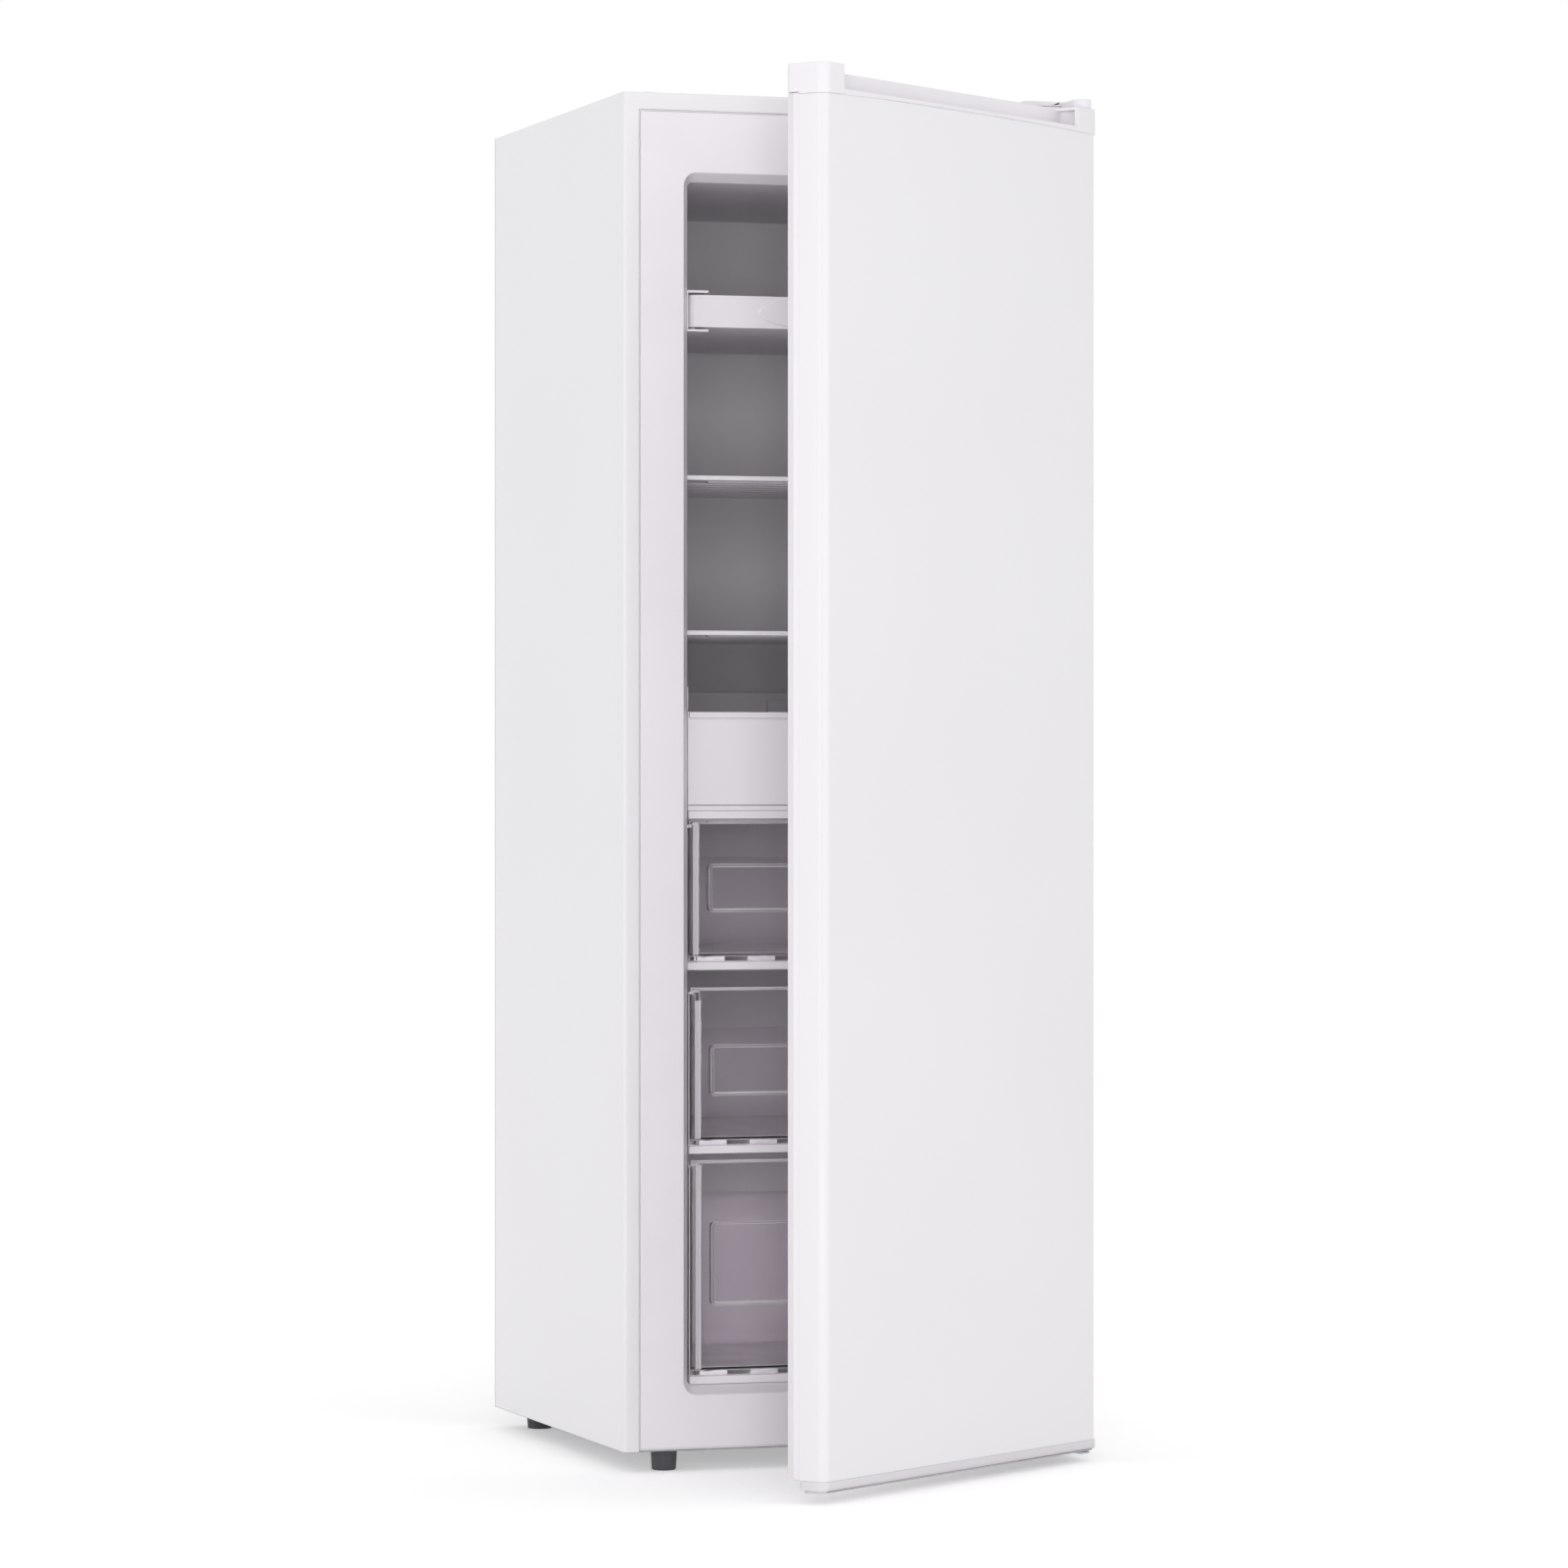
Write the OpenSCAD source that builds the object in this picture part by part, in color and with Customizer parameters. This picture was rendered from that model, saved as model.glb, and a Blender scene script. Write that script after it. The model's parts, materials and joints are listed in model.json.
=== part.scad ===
// Upright freezer, free-standing, one door hinged on the right and standing open by door_angle.
// Millimetres, +Z up, the door side faces -Y. The origin is on the floor under the middle of the cabinet.
// Inside each module y = 0 is the plane of the cabinet's front face, and heights in the Customizer
// sections are measured from the cabinet's lower edge, which stands foot_h above the floor.

/* [Cabinet] */
// Width of the cabinet across its side panels
cab_w = 500; // [460:1:620]
// Height of the cabinet without its feet
cab_h = 1400; // [1390:1:1600]
// Depth of the cabinet from its front face to its back panel
cab_d = 499; // [480:1:640]
// Height of the feet under the cabinet
foot_h = 21; // [16:1:34]
// Thickness of the painted steel sheet
steel_t = 0.8; // [0.5:0.1:1.2]
// Width of the front flange of each side panel
side_flange = 16.5; // [12:0.5:24]
// Width of the front flange of the top panel
top_flange = 18; // [12:0.5:24]
// Bend radius along the front edges of the side panels and the top
bend_r = 3.5; // [2:0.5:6]
// Width of the shadow groove between the steel flange and the inner liner
groove_w = 1.5; // [0.8:0.1:3]
// Depth of the compressor bay
bay_d = 165; // [155:1:175]

/* [Inner liner] */
// Distance from the cabinet's side to the opening's outer lip
side_wall = 64.4; // [60:0.2:66]
// Height of the lower lip of the opening
open_low = 57; // [50:1:60]
// Distance from the cabinet's upper edge down to the opening's upper lip
top_wall = 81.5; // [70:0.5:100]
// Corner radius of the opening
open_r = 14; // [11:0.5:22]
// How far the bevelled lip narrows the opening on each side
lip_in = 8.8; // [6:0.1:10]
// Depth of the bevelled lip
lip_d = 16.5; // [12:0.5:18]
// Thickness of the vacuum-formed liner
liner_t = 2; // [1.5:0.1:3]
// Thickness of the wall behind the food compartment
back_wall = 60; // [54:1:74]
// Thickness of the walls between the food compartment and the compressor bay
bay_wall = 45; // [40:1:50]
// Width of the ledges that carry the shelves
ledge_w = 8.3; // [6:0.1:9]
// Height of the ledges that carry the shelves
ledge_h = 5; // [3:0.5:8]

/* [Shelves] */
// Height of the top of the first open shelf
shelf_1_top = 1007.4; // [1000:0.2:1015]
// Height of the top of the second open shelf
shelf_2_top = 846.7; // [835:0.1:855]
// Thickness of an evaporator shelf's sheet
plate_t = 1.4; // [1:0.1:2]
// Thickness of a channel pressed into the underside of an evaporator shelf
channel_t = 2.4; // [1.5:0.1:3]
// Width of a channel in an evaporator shelf
channel_w = 8; // [6:0.5:12]
// Height of the white trim on the front of an open shelf
trim_h = 4.8; // [4:0.1:7]
// Depth of the white trim on the front of an open shelf
trim_d = 10; // [8:0.5:16]

/* [Top tray] */
// Height of the underside of the pull-out tray's front
tray_z = 1160.9; // [1140:0.1:1180]
// Height of the pull-out tray's front
tray_h = 33.5; // [28:0.5:40]
// Wall thickness of the white plastic mouldings
wall_t = 2; // [1.5:0.1:3]
// Length of the oval pad on the tray's front
pad_w = 194; // [120:1:240]
// Height of the whole oval, which is cut off above and below
pad_h = 41; // [36:0.5:60]
// Plain strip left above and below the pad
pad_rim = 1.2; // [0.6:0.1:4]
// How far the pad stands out
pad_d = 1.6; // [0.8:0.1:3]
// How far the guide ledges reach in from the side wall
guide_w = 25; // [12:0.5:30]
// Thickness of a guide ledge
guide_t = 2.5; // [2:0.1:4]

/* [Drawers] */
// Clearance between the compartment's side wall and the drawers' fronts
front_gap = 2.8; // [2:0.1:6]
// How far the drawers' fronts stand out beside their tubs
wing = 7.8; // [6:0.1:12]
// Wall thickness of the clear drawers
clear_t = 2.4; // [1.8:0.1:3]
// Height of the white rail under each drawer's front
rail_h = 8.2; // [6:0.1:11]
// Depth of the white rail under each drawer's front
rail_d = 14; // [10:0.5:24]
// Width of the runners under each drawer
runner_w = 30; // [12:0.5:32]
// Height of the runners above the rail
runner_rise = 6; // [4:0.5:9]
// Pitch of the runners under each drawer
runner_pitch = 55; // [46:0.5:56]
// Distance from the edge of a clear front to the finger grip pressed into it
grip_in = 25.5; // [20:0.5:80]
// Depth of the finger grip
grip_d = 9; // [6:0.5:14]
// Height of the underside of the white bin
bin_z = 651.5; // [645:0.5:660]
// Height of the white bin's front above its rail
bin_front_h = 102.2; // [80:0.2:115]
// Height of the white bin's tub above its rail
bin_tub_h = 128; // [100:1:135]
// Height of the underside of the upper drawer
upper_z = 494.8; // [488:0.2:500]
// Height of the upper drawer's clear front above its rail
upper_front_h = 146; // [120:1:147.5]
// Height of the upper drawer's tub behind its front
upper_tub_h = 98; // [60:1:130]
// Height of the upper drawer's grip, measured from the rail
upper_grip_z = 52; // [40:1:60]
// Height of the upper drawer's grip opening
upper_grip_h = 49; // [24:1:60]
// Height of the underside of the middle drawer
middle_z = 304.6; // [303:0.2:310]
// Height of the middle drawer's clear front above its rail
middle_front_h = 163.4; // [130:0.2:170]
// Height of the middle drawer's tub behind its front
middle_tub_h = 100; // [60:1:140]
// Height of the middle drawer's grip, measured from the rail
middle_grip_z = 52; // [40:1:60]
// Height of the middle drawer's grip opening
middle_grip_h = 52; // [24:1:60]
// Height of the lower drawer's clear front above its rail
lower_front_h = 223; // [180:1:224]
// Height of the lower drawer's tub behind its front
lower_tub_h = 166; // [100:1:190]
// Height of the lower drawer's grip, measured from the rail
lower_grip_z = 73; // [50:1:90]
// Height of the lower drawer's grip opening
lower_grip_h = 86; // [24:1:90]

/* [Door] */
// Angle by which the door stands open
door_angle = 36.8; // [0:0.1:88]
// Depth of the door's steel skin
skin_d = 31; // [28:0.5:50]
// Height of the inner panel's rim between the skin and the gasket
rim_h = 8; // [6:0.5:12]
// Radius of the two upright front edges of the door
door_r = 9.7; // [6:0.1:14]
// Height of the lower end of the door, which hangs below the cabinet's lower edge
door_low = -10.4; // [-14:0.1:-6]
// Height of the moulded cap on the door's lower end
low_cap_h = 12.4; // [10:0.1:20]
// Distance from the cabinet's upper edge down to the door skin's upper edge
skin_drop = 31; // [28:0.5:40]
// Radius of that cap's rounded lower front edge
low_cap_r = 9; // [4:0.5:11]
// Height of the cap on the door's upper end
top_cap_h = 24.2; // [20:0.1:26]
// Thickness of the flange of that cap
cap_flange = 4; // [3:0.1:6]
// How far the caps stand proud of the skin
cap_proud = 1.2; // [0.4:0.1:2]
// Depth of both caps behind the skin's front face
cap_d = 46; // [40:0.5:46]
// Depth of the long grip recess in the upper cap
recess_d = 27; // [20:0.5:32]
// Length of the solid block at each end of the recess
block_w = 38; // [30:0.5:60]
// How far the recess reaches under the top of the block at its hinge end
pocket_w = 12; // [4:0.5:16]
// Height of the cover over the spare hinge socket
cover_h = 24.5; // [22:0.1:26.5]
// Radius of the arched lower edge of the upper cap's front lip
lip_arch_r = 9000; // [6000:100:20000]
// Distance of the hinge pins from the door's side edge
pin_in = 10; // [8:0.5:13]
// Distance of the hinge pins from the door's front face
pin_back = 12; // [10:0.5:20]
// Radius of the hinge pins
pin_r = 3; // [2.5:0.1:4]
// Running clearance around a hinge pin
pin_clear = 0.05; // [0.02:0.01:0.1]
// Wall of the bush around a hinge pin
bush_wall = 1.9; // [1.2:0.1:3]
// Height of the gasket behind the skin
gasket_h = 8.3; // [7:0.1:12]
// Width of the gasket
gasket_w = 16; // [12:0.5:20]
// How far the gasket stays inside the door's edge
gasket_in = 1; // [1:0.5:4]
// Gap between the closed gasket and the cabinet
gasket_gap = 0.3; // [0.2:0.1:1]
// How far the inner panel's frame reaches into the closed opening
dike_in = 11; // [4:0.5:13]
// Width of the inner panel's raised frame
dike_w = 30; // [18:1:60]

/* [Feet and hinges] */
// Radius of the levelling foot at its top
leg_r = 13.6; // [10:0.1:18]
// Distance of the levelling legs from the cabinet's side
leg_in = 49.5; // [40:0.5:70]
// Distance of the levelling legs behind the front face
leg_back = 22; // [16:1:60]
// Radius of the threaded stud of a levelling leg
stud_r = 4; // [3:0.5:5]
// Radius of the rear feet
rear_foot_r = 15; // [10:0.5:20]
// Thickness of the hinge plates
hinge_t = 2; // [1.5:0.1:3]
// Width of the hinge plates where they are screwed on
hinge_w = 52; // [44:1:70]
// Length of the hinge plates behind the front face
hinge_l = 64; // [50:1:90]
// Radius of the hinge screws' shanks
screw_r = 2.5; // [2:0.1:3]
// Radius of the hinge screws' heads
head_r = 4.5; // [3.5:0.1:5.5]

/* [Cooling machinery] */
// Radius of the compressor's housing
pot_r = 56; // [48:0.5:60]
// Height of the compressor's housing
pot_h = 132; // [110:1:150]
// Radius of the condenser tube in the side walls
cond_r = 2.4; // [1.5:0.1:3]
// Pitch of the condenser's upright runs
cond_pitch = 58; // [40:1:60]
// Radius of the suction tube
suction_r = 3.5; // [2.5:0.1:4]
// Radius of the filter dryer
dryer_r = 9.5; // [7:0.5:12]
// Length of the filter dryer
dryer_h = 100; // [70:1:120]
// Radius of the thermostat's knob
knob_r = 17; // [12:0.5:22]
// Length of the thermostat's knob
knob_h = 13; // [9:0.5:20]

/* [Hidden] */
$fn = 64;

// Overshoot of a cut past the face it opens
cut = 1;
// Gap between two pieces that lie on each other
seat = 0.3;
// Gap between the foam and what it surrounds
foam_gap = 0.2;

half_w = cab_w / 2;
door_w = cab_w;
base_z = foot_h;
top_z = foot_h + cab_h;
flange_x = half_w - side_flange;
flange_z = top_z - top_flange;
face_x = flange_x - groove_w;
face_top = flange_z - groove_w;
face_low = base_z + 3;
face_rim_d = 10;
// How far the liner's edge reaches behind the steel flanges
tuck = 4;
open_x = half_w - side_wall;
open_z0 = base_z + open_low;
open_z1 = top_z - top_wall;
room_x = open_x - lip_in;
room_z0 = open_z0 + lip_in;
room_z1 = open_z1 - lip_in;
room_r = open_r - lip_in;
room_d = cab_d - back_wall;
// Distance from the middle drawer down to the compressor step
step_gap = 14.6;
step_z = middle_z - step_gap;
bay_h = step_z - bay_wall;
bay_y = cab_d - bay_d;
bay_z = base_z + bay_h;
step_y = bay_y - bay_wall;
rear_y = cab_d - steel_t;
shelf_front = 34;
shelf_rear = room_d - 14;
shelf_x = room_x - 1.6;
tray_low = base_z + tray_z;
bin_low_z = base_z + bin_z;
upper_low = base_z + upper_z;
middle_low = base_z + middle_z;
lower_low = room_z0 + seat;
shelf_z = [
    base_z + shelf_1_top,
    base_z + shelf_2_top,
    bin_low_z - seat,
    upper_low - seat,
    middle_low - seat
];
trim_wall = 1.4;
plate_z = [for (k = [0:4]) shelf_z[k] - plate_t - (k < 2 ? trim_wall : 0)];
trim_y = 26;
low_shelf_front = 60;
tray_x = room_x - 5.8;
tray_front = 24;
tray_r = 8;
front_w = 2 * (room_x - front_gap);
tub_w = front_w - 2 * wing;
grip_w = front_w - 2 * grip_in;
bin_front_y = 24;
upper_front_y = 29;
middle_front_y = 22;
lower_front_y = 20;
drawer_rear = room_d - 39;
lower_rear = step_y - 12;
// The two runners next to the middle stand further apart than the rest, and a tub has as many as fit
runner_first = 0.66;
runners_a_side = floor((tub_w - runner_w) / 2 / runner_pitch - runner_first) + 1;
runner_offsets = [
    for (side = [-1, 1], k = [0:runners_a_side - 1]) side * runner_pitch * (k + runner_first)
];
pin_x = door_w / 2 - pin_in;
door_t = skin_d + rim_h + gasket_h + gasket_gap;
pin_y = pin_back - door_t;
door_z0 = base_z + door_low;
skin_z0 = door_z0 + low_cap_h;
skin_z1 = top_z - skin_drop;
block_top = skin_z1 + top_cap_h;
bush_r = pin_r + pin_clear + bush_wall;
hinge_x = half_w - hinge_w - 4;
hinge_tab_w = 2 * pin_in - 5;
nose_r = hinge_tab_w / 2 + 1.5;
tab_z = door_z0 - 0.6 - hinge_t;
cond_x = half_w - steel_t - cond_r - 0.4;
cond_runs = 7;
cond_low = bay_z + 55;
cond_high = top_z - 60;
cond_cross = top_z - 26;
pipe_y = cab_d - 74;
cond_y = [for (k = [0:cond_runs - 1]) pipe_y - cond_pitch * k];
pot_x = 10;
pot_y = bay_y + bay_d / 2;
plate_top = base_z + 1.5;
pot_z = plate_top + 24;
dryer_z = bay_z - 66;
discharge_z = pot_z + 64;
suction_bend_z = pot_z + 80;
leg_x = half_w - leg_in;
riser_x = room_x - 26.8;
riser_y = room_d - 7;
suction_y = room_d + 14;
dryer_x = cond_x - 45;
dryer_y = pipe_y;
capillary_r = 1.1;
// Where the terminal cover ends, with the cord's gland under it and the capillary tube beside it
terminal_x = pot_x - pot_r - 34;
gland_x = terminal_x + 16;
gland_r = 5;
gland_bore_r = 3.2;
capillary_x = terminal_x - 20;
knob_x = 100 - half_w;
knob_z = bay_z - 55;
box_y = rear_y - 16;
box_w = 80;
box_d = 36;
shaft_r = 3;

// Places a module's front-face coordinates over the origin at the middle of the footprint
module at_front() translate([0, -cab_d / 2, 0]) children();

// Swings the door's own pieces about the hinge pins, from closed to where they rest
module at_door() at_front() translate([pin_x, pin_y, 0]) rotate([0, 0, door_angle])
    translate([-pin_x, -pin_y, 0]) children();

module block(x0, x1, y0, y1, z0, z1) translate([x0, y0, z0]) cube([x1 - x0, y1 - y0, z1 - z0]);

module rounded_rect(x0, x1, y0, y1, r) {
    translate([x0 + r, y0]) square([x1 - x0 - 2 * r, y1 - y0]);
    translate([x0, y0 + r]) square([x1 - x0, y1 - y0 - 2 * r]);
    for (x = [x0 + r, x1 - r], y = [y0 + r, y1 - r]) translate([x, y]) circle(r);
}

// A block whose four edges along Y are rounded
module prism_y(x0, x1, y0, y1, z0, z1, r) translate([0, y1, 0]) rotate([90, 0, 0])
    linear_extrude(y1 - y0) rounded_rect(x0, x1, z0, z1, r);

// A block whose four upright edges are rounded
module prism_z(x0, x1, y0, y1, z0, z1, r) translate([0, 0, z0])
    linear_extrude(z1 - z0) rounded_rect(x0, x1, y0, y1, r);

module tube_x(r, x0, x1, y, z) translate([x0, y, z]) rotate([0, 90, 0]) cylinder(r = r, h = x1 - x0);

module tube_y(r, x, y0, y1, z) translate([x, y0, z]) rotate([-90, 0, 0]) cylinder(r = r, h = y1 - y0);

module tube_z(r, x, y, z0, z1) translate([x, y, z0]) cylinder(r = r, h = z1 - z0);

// Sweeps a profile (x outwards, y along Z) around a rounded rectangle in the XY plane
module ring(w, h, r) {
    for (side = [0:3]) {
        half = side % 2 == 0 ? w / 2 : h / 2;
        run = (side % 2 == 0 ? h : w) - 2 * r;
        rotate([0, 0, 90 * side]) translate([half, 0, 0]) rotate([90, 0, 0])
            linear_extrude(run, center = true) children();
    }
    for (side = [0:3]) {
        across = side % 2 == 0 ? w : h;
        along = side % 2 == 0 ? h : w;
        rotate([0, 0, 90 * side]) translate([across / 2 - r, along / 2 - r, 0])
            rotate_extrude(angle = 90) translate([r, 0]) children();
    }
}

// The same sweep around a rounded rectangle in the XZ plane, with the profile's y along +Y
module ring_y(x0, x1, z0, z1, r) translate([(x0 + x1) / 2, 0, (z0 + z1) / 2])
    rotate([-90, 0, 0]) ring(x1 - x0, z1 - z0, r) children();

// Cabinet shell

// The wrapper's outer form, moved inwards by inset, with its front edges rounded
module wrapper_form(inset, low, back) {
    w = cab_w - 2 * inset;
    r = bend_r - inset;
    intersection() {
        translate([0, 0, low]) linear_extrude(top_z - inset - low) union() {
            translate([-w / 2 + r, inset]) square([w - 2 * r, back - inset]);
            translate([-w / 2, inset + r]) square([w, back - inset - r]);
            for (x = [-w / 2 + r, w / 2 - r]) translate([x, inset + r]) circle(r);
        }
        translate([-half_w, 0, 0]) rotate([90, 0, 90]) linear_extrude(cab_w) union() {
            translate([inset, low]) square([back - inset, top_z - inset - r - low]);
            translate([inset + r, low]) square([back - inset - r, top_z - inset - low]);
            translate([inset + r, top_z - inset - r]) circle(r);
        }
    }
}

module outer_wrapper() color("white") at_front() difference() {
    wrapper_form(0, base_z, cab_d);
    wrapper_form(steel_t, base_z - cut, cab_d + cut);
    block(-flange_x, flange_x, -cut, bend_r + cut, base_z - cut, flange_z);
    for (x = [-hinge_x - hinge_w / 2, hinge_x + hinge_w / 2], y = hinge_screw_y)
        tube_z(screw_r + 0.1, x, y, top_z - 5, top_z + cut);
}

hinge_screw_y = [14, hinge_l - 12];

// The panel's upright ribs: radius, height over the sheet, and distance from the panel's ends
rib_r = 12;
rib_proud = 1.7;
rib_end = 60;

module back_panel() color("lightgray") at_front() {
    block(-half_w + steel_t, half_w - steel_t, rear_y, cab_d, bay_z, top_z - steel_t);
    for (k = [-3:2:3]) let (x = k * cab_w / 10)
        intersection() {
            tube_z(rib_r, x, cab_d + rib_proud - rib_r, bay_z + rib_end, top_z - rib_end);
            block(x - rib_r, x + rib_r, rear_y, cab_d + rib_r, bay_z, top_z);
        }
}

module base_plate() color("silver") at_front() difference() {
    union() {
        block(-half_w + 1, half_w - 1, 1, bay_y + 1, base_z, base_z + 1);
        block(-half_w + 1, half_w - 1, bay_y, bay_y + 1, base_z, bay_z);
        block(-half_w + 1, half_w - 1, bay_y, rear_y, bay_z - 1, bay_z);
    }
    for (side = [-1, 1]) tube_z(stud_r + 0.6, side * leg_x, leg_back, base_z - cut, base_z + 2);
    tube_z(drain_r + 0.4, 0, drain_y, base_z - cut, base_z + 2);
    for (side = [-1, 1]) tube_z(cond_r + 0.4, side * cond_x, cond_y[0], bay_z - 2, bay_z + cut);
    tube_z(suction_r + 0.5, riser_x, suction_y, bay_z - 2, bay_z + cut);
    for (y = hinge_screw_y) tube_z(screw_r + 0.1, hinge_x + hinge_w / 2, y, base_z - cut, base_z + 2);
}

module compressor_plate() color("silver") at_front() difference() {
    block(-half_w + 1, half_w - 1, bay_y + 10, rear_y - 2, base_z, plate_top);
    for (x = pot_feet_x, y = pot_feet_y) tube_z(bolt_r + 0.2, x, y, base_z - cut, plate_top + cut);
}

// The compressor's feet: bolts, rubber grommets, and how far the foot plate reaches past them
pot_feet_x = [pot_x - 70, pot_x + 70];
pot_feet_y = [pot_y - 45, pot_y + 45];
bolt_r = 3;
grommet_r = 8;
foot_edge = 12;
drain_r = 7;
drain_y = step_y - 39;

// The food compartment from front to its rear wall, moved outwards by grow, without the compressor's step
module room(grow, front) difference() {
    prism_y(-room_x - grow, room_x + grow, front, room_d + grow, room_z0 - grow, room_z1 + grow,
        room_r + grow);
    block(-half_w, half_w, step_y + grow, cab_d, 0, base_z + step_z - grow);
}

module cabinet_foam() color("khaki") at_front() difference() {
    union() {
        block(-face_x + 3, face_x - 3, liner_t + foam_gap, face_rim_d + 2, face_low + 3, face_top - 3);
        block(-half_w + 1, half_w - 1, face_rim_d + 1, rear_y - foam_gap, base_z + 1 + foam_gap, top_z - 1);
    }
    room(liner_t + foam_gap, lip_d);
    block(-open_x - 4, open_x + 4, 0, lip_d + 4, open_z0 - 4, open_z1 + 4);
    block(-half_w, half_w, bay_y - foam_gap, cab_d, 0, bay_z + foam_gap);
    condenser_path(cond_r + foam_gap);
    suction_path(suction_r + foam_gap);
    tube_y(suction_r + foam_gap, riser_x, room_d, suction_y, riser_low);
    tube_z(drain_r + foam_gap, 0, drain_y, base_z, base_z + 90);
    for (side = [-1, 1])
        block(side * leg_x - 9, side * leg_x + 9, leg_back - 9, leg_back + 9, base_z, base_z + 20);
    for (x = [-hinge_x - hinge_w / 2, hinge_x + hinge_w / 2], y = hinge_screw_y)
        tube_z(screw_r + 1, x, y, top_z - 16, top_z + cut);
}

module inner_liner() color("whitesmoke") at_front() difference() {
    union() {
        difference() {
            prism_y(-face_x, face_x, 0, face_rim_d, face_low, face_top, 2);
            prism_y(-face_x + liner_t, face_x - liner_t, liner_t, face_rim_d + cut, face_low + liner_t,
                face_top - liner_t, 1);
            prism_y(-open_x - 1, open_x + 1, -cut, liner_t + cut, open_z0 - 1, open_z1 + 1, open_r + 1);
        }
        difference() {
            block(-flange_x - tuck, flange_x + tuck, steel_t + seat, steel_t + seat + liner_t, face_low,
                flange_z + tuck);
            block(-face_x + 1, face_x - 1, 0, face_rim_d, face_low - cut, face_top - 1);
        }
        ring_y(-open_x, open_x, open_z0, open_z1, open_r) polygon([
            [0, 0], [-lip_in, lip_d], [-lip_in + liner_t, lip_d], [1, liner_t], [3, liner_t], [3, 0]
        ]);
        difference() {
            room(liner_t, lip_d);
            room(0, lip_d - cut);
        }
        for (z = plate_z) shelf_ledges(z);
    }
    tube_z(drain_r - 2, 0, drain_y, room_z0 - 3, room_z0 + cut);
    tube_y(suction_r + 0.5, riser_x, room_d - cut, room_d + 3, riser_low);
}

ledge_front = 46;
riser_low = shelf_z[4] + 4;

// The moulded ledges under the edges of one shelf
module shelf_ledges(z) for (side = [0, 1]) mirror([side, 0, 0])
    block(room_x - ledge_w, room_x + liner_t / 2, ledge_front, room_d + liner_t / 2,
        z - seat - ledge_h, z - seat);

module tray_guides() color("white") at_front() for (side = [0, 1]) mirror([side, 0, 0]) {
    z0 = tray_low - 2 - seat;
    z1 = tray_low + tray_h + 2;
    rear = drawer_rear + 5;
    block(room_x - guide_w, room_x - seat, tray_front - 2, rear, z0 - guide_t, z0);
    block(room_x - guide_w, room_x - seat, tray_front - 2, rear, z1, z1 + guide_t);
    block(room_x - 3, room_x - seat, tray_front - 2, rear, z0 - guide_t, z1 + guide_t);
}

// Evaporator shelves: a sheet with one pressed channel that runs to and fro across it

module serpentine(x, y0, pitch, runs) {
    r = pitch / 2;
    for (k = [0:runs - 1]) translate([-x, y0 + pitch * k - channel_w / 2]) square([2 * x, channel_w]);
    for (k = [0:runs - 2]) {
        side = k % 2 == 0 ? 1 : -1;
        translate([side * x, y0 + pitch * k + r]) intersection() {
            difference() {
                circle(r + channel_w / 2);
                circle(r - channel_w / 2);
            }
            translate([side > 0 ? 0 : -pitch, -pitch]) square([pitch, 2 * pitch]);
        }
    }
}

// A shelf whose sheet lies on z; the channels fill the depth from first_y to its rear edge
module evaporator_shelf(z, front, first_y) color("gainsboro") at_front() {
    run_x = room_x - 42;
    pitch = 46;
    last_y = shelf_rear - 20;
    runs = floor((last_y - first_y) / pitch) + 1;
    block(-shelf_x, shelf_x, front, shelf_rear, z, z + plate_t);
    translate([0, 0, z - channel_t]) linear_extrude(channel_t + 0.2)
        serpentine(run_x, last_y - pitch * (runs - 1), pitch, runs);
}

module evaporator_shelf_1() evaporator_shelf(plate_z[0], shelf_front, shelf_front + 30);
module evaporator_shelf_2() evaporator_shelf(plate_z[1], shelf_front, shelf_front + 30);
module evaporator_shelf_3() evaporator_shelf(plate_z[2], shelf_front + 6, shelf_front + 30);
module evaporator_shelf_4() evaporator_shelf(plate_z[3], low_shelf_front, low_shelf_front + 26);
module evaporator_shelf_5() evaporator_shelf(plate_z[4], low_shelf_front, step_y + 20);

// A channel-shaped strip that grips a shelf's front edge
module shelf_trim(z) color("white") at_front() difference() {
    prism_x(-room_x + 1, room_x - 1, trim_y, trim_y + trim_d, z - trim_h, z, 1);
    block(-room_x, room_x, shelf_front - seat, trim_y + trim_d + cut, z - trim_wall - plate_t - 0.1,
        z - trim_wall + 0.1);
}

// A block whose two front edges along X are rounded
module prism_x(x0, x1, y0, y1, z0, z1, r) translate([x0, 0, 0]) rotate([90, 0, 90])
    linear_extrude(x1 - x0) union() {
        translate([y0 + r, z0]) square([y1 - y0 - r, z1 - z0]);
        translate([y0, z0 + r]) square([y1 - y0, z1 - z0 - 2 * r]);
        for (z = [z0 + r, z1 - r]) translate([y0 + r, z]) circle(r);
    }

module shelf_trim_1() shelf_trim(shelf_z[0]);
module shelf_trim_2() shelf_trim(shelf_z[1]);

module evaporator_riser() color("silver") at_front() {
    tube_z(suction_r, riser_x, riser_y, shelf_z[4] - 3, shelf_z[0] - 5);
    tube_y(suction_r, riser_x, riser_y, suction_y - suction_r - 2, riser_low);
    for (z = shelf_z) block(riser_x - 4, riser_x + 4, shelf_rear, riser_y, z - 6, z);
}

// Condenser: one tube that climbs and falls along the right wall, crosses the top and returns on the left

module half_turn(x, y, z, up, r) translate([x, y, z]) rotate([0, -90, 0]) rotate([0, 0, up > 0 ? -90 : 90])
    rotate_extrude(angle = 180) translate([cond_pitch / 2, 0]) circle(r);

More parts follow.
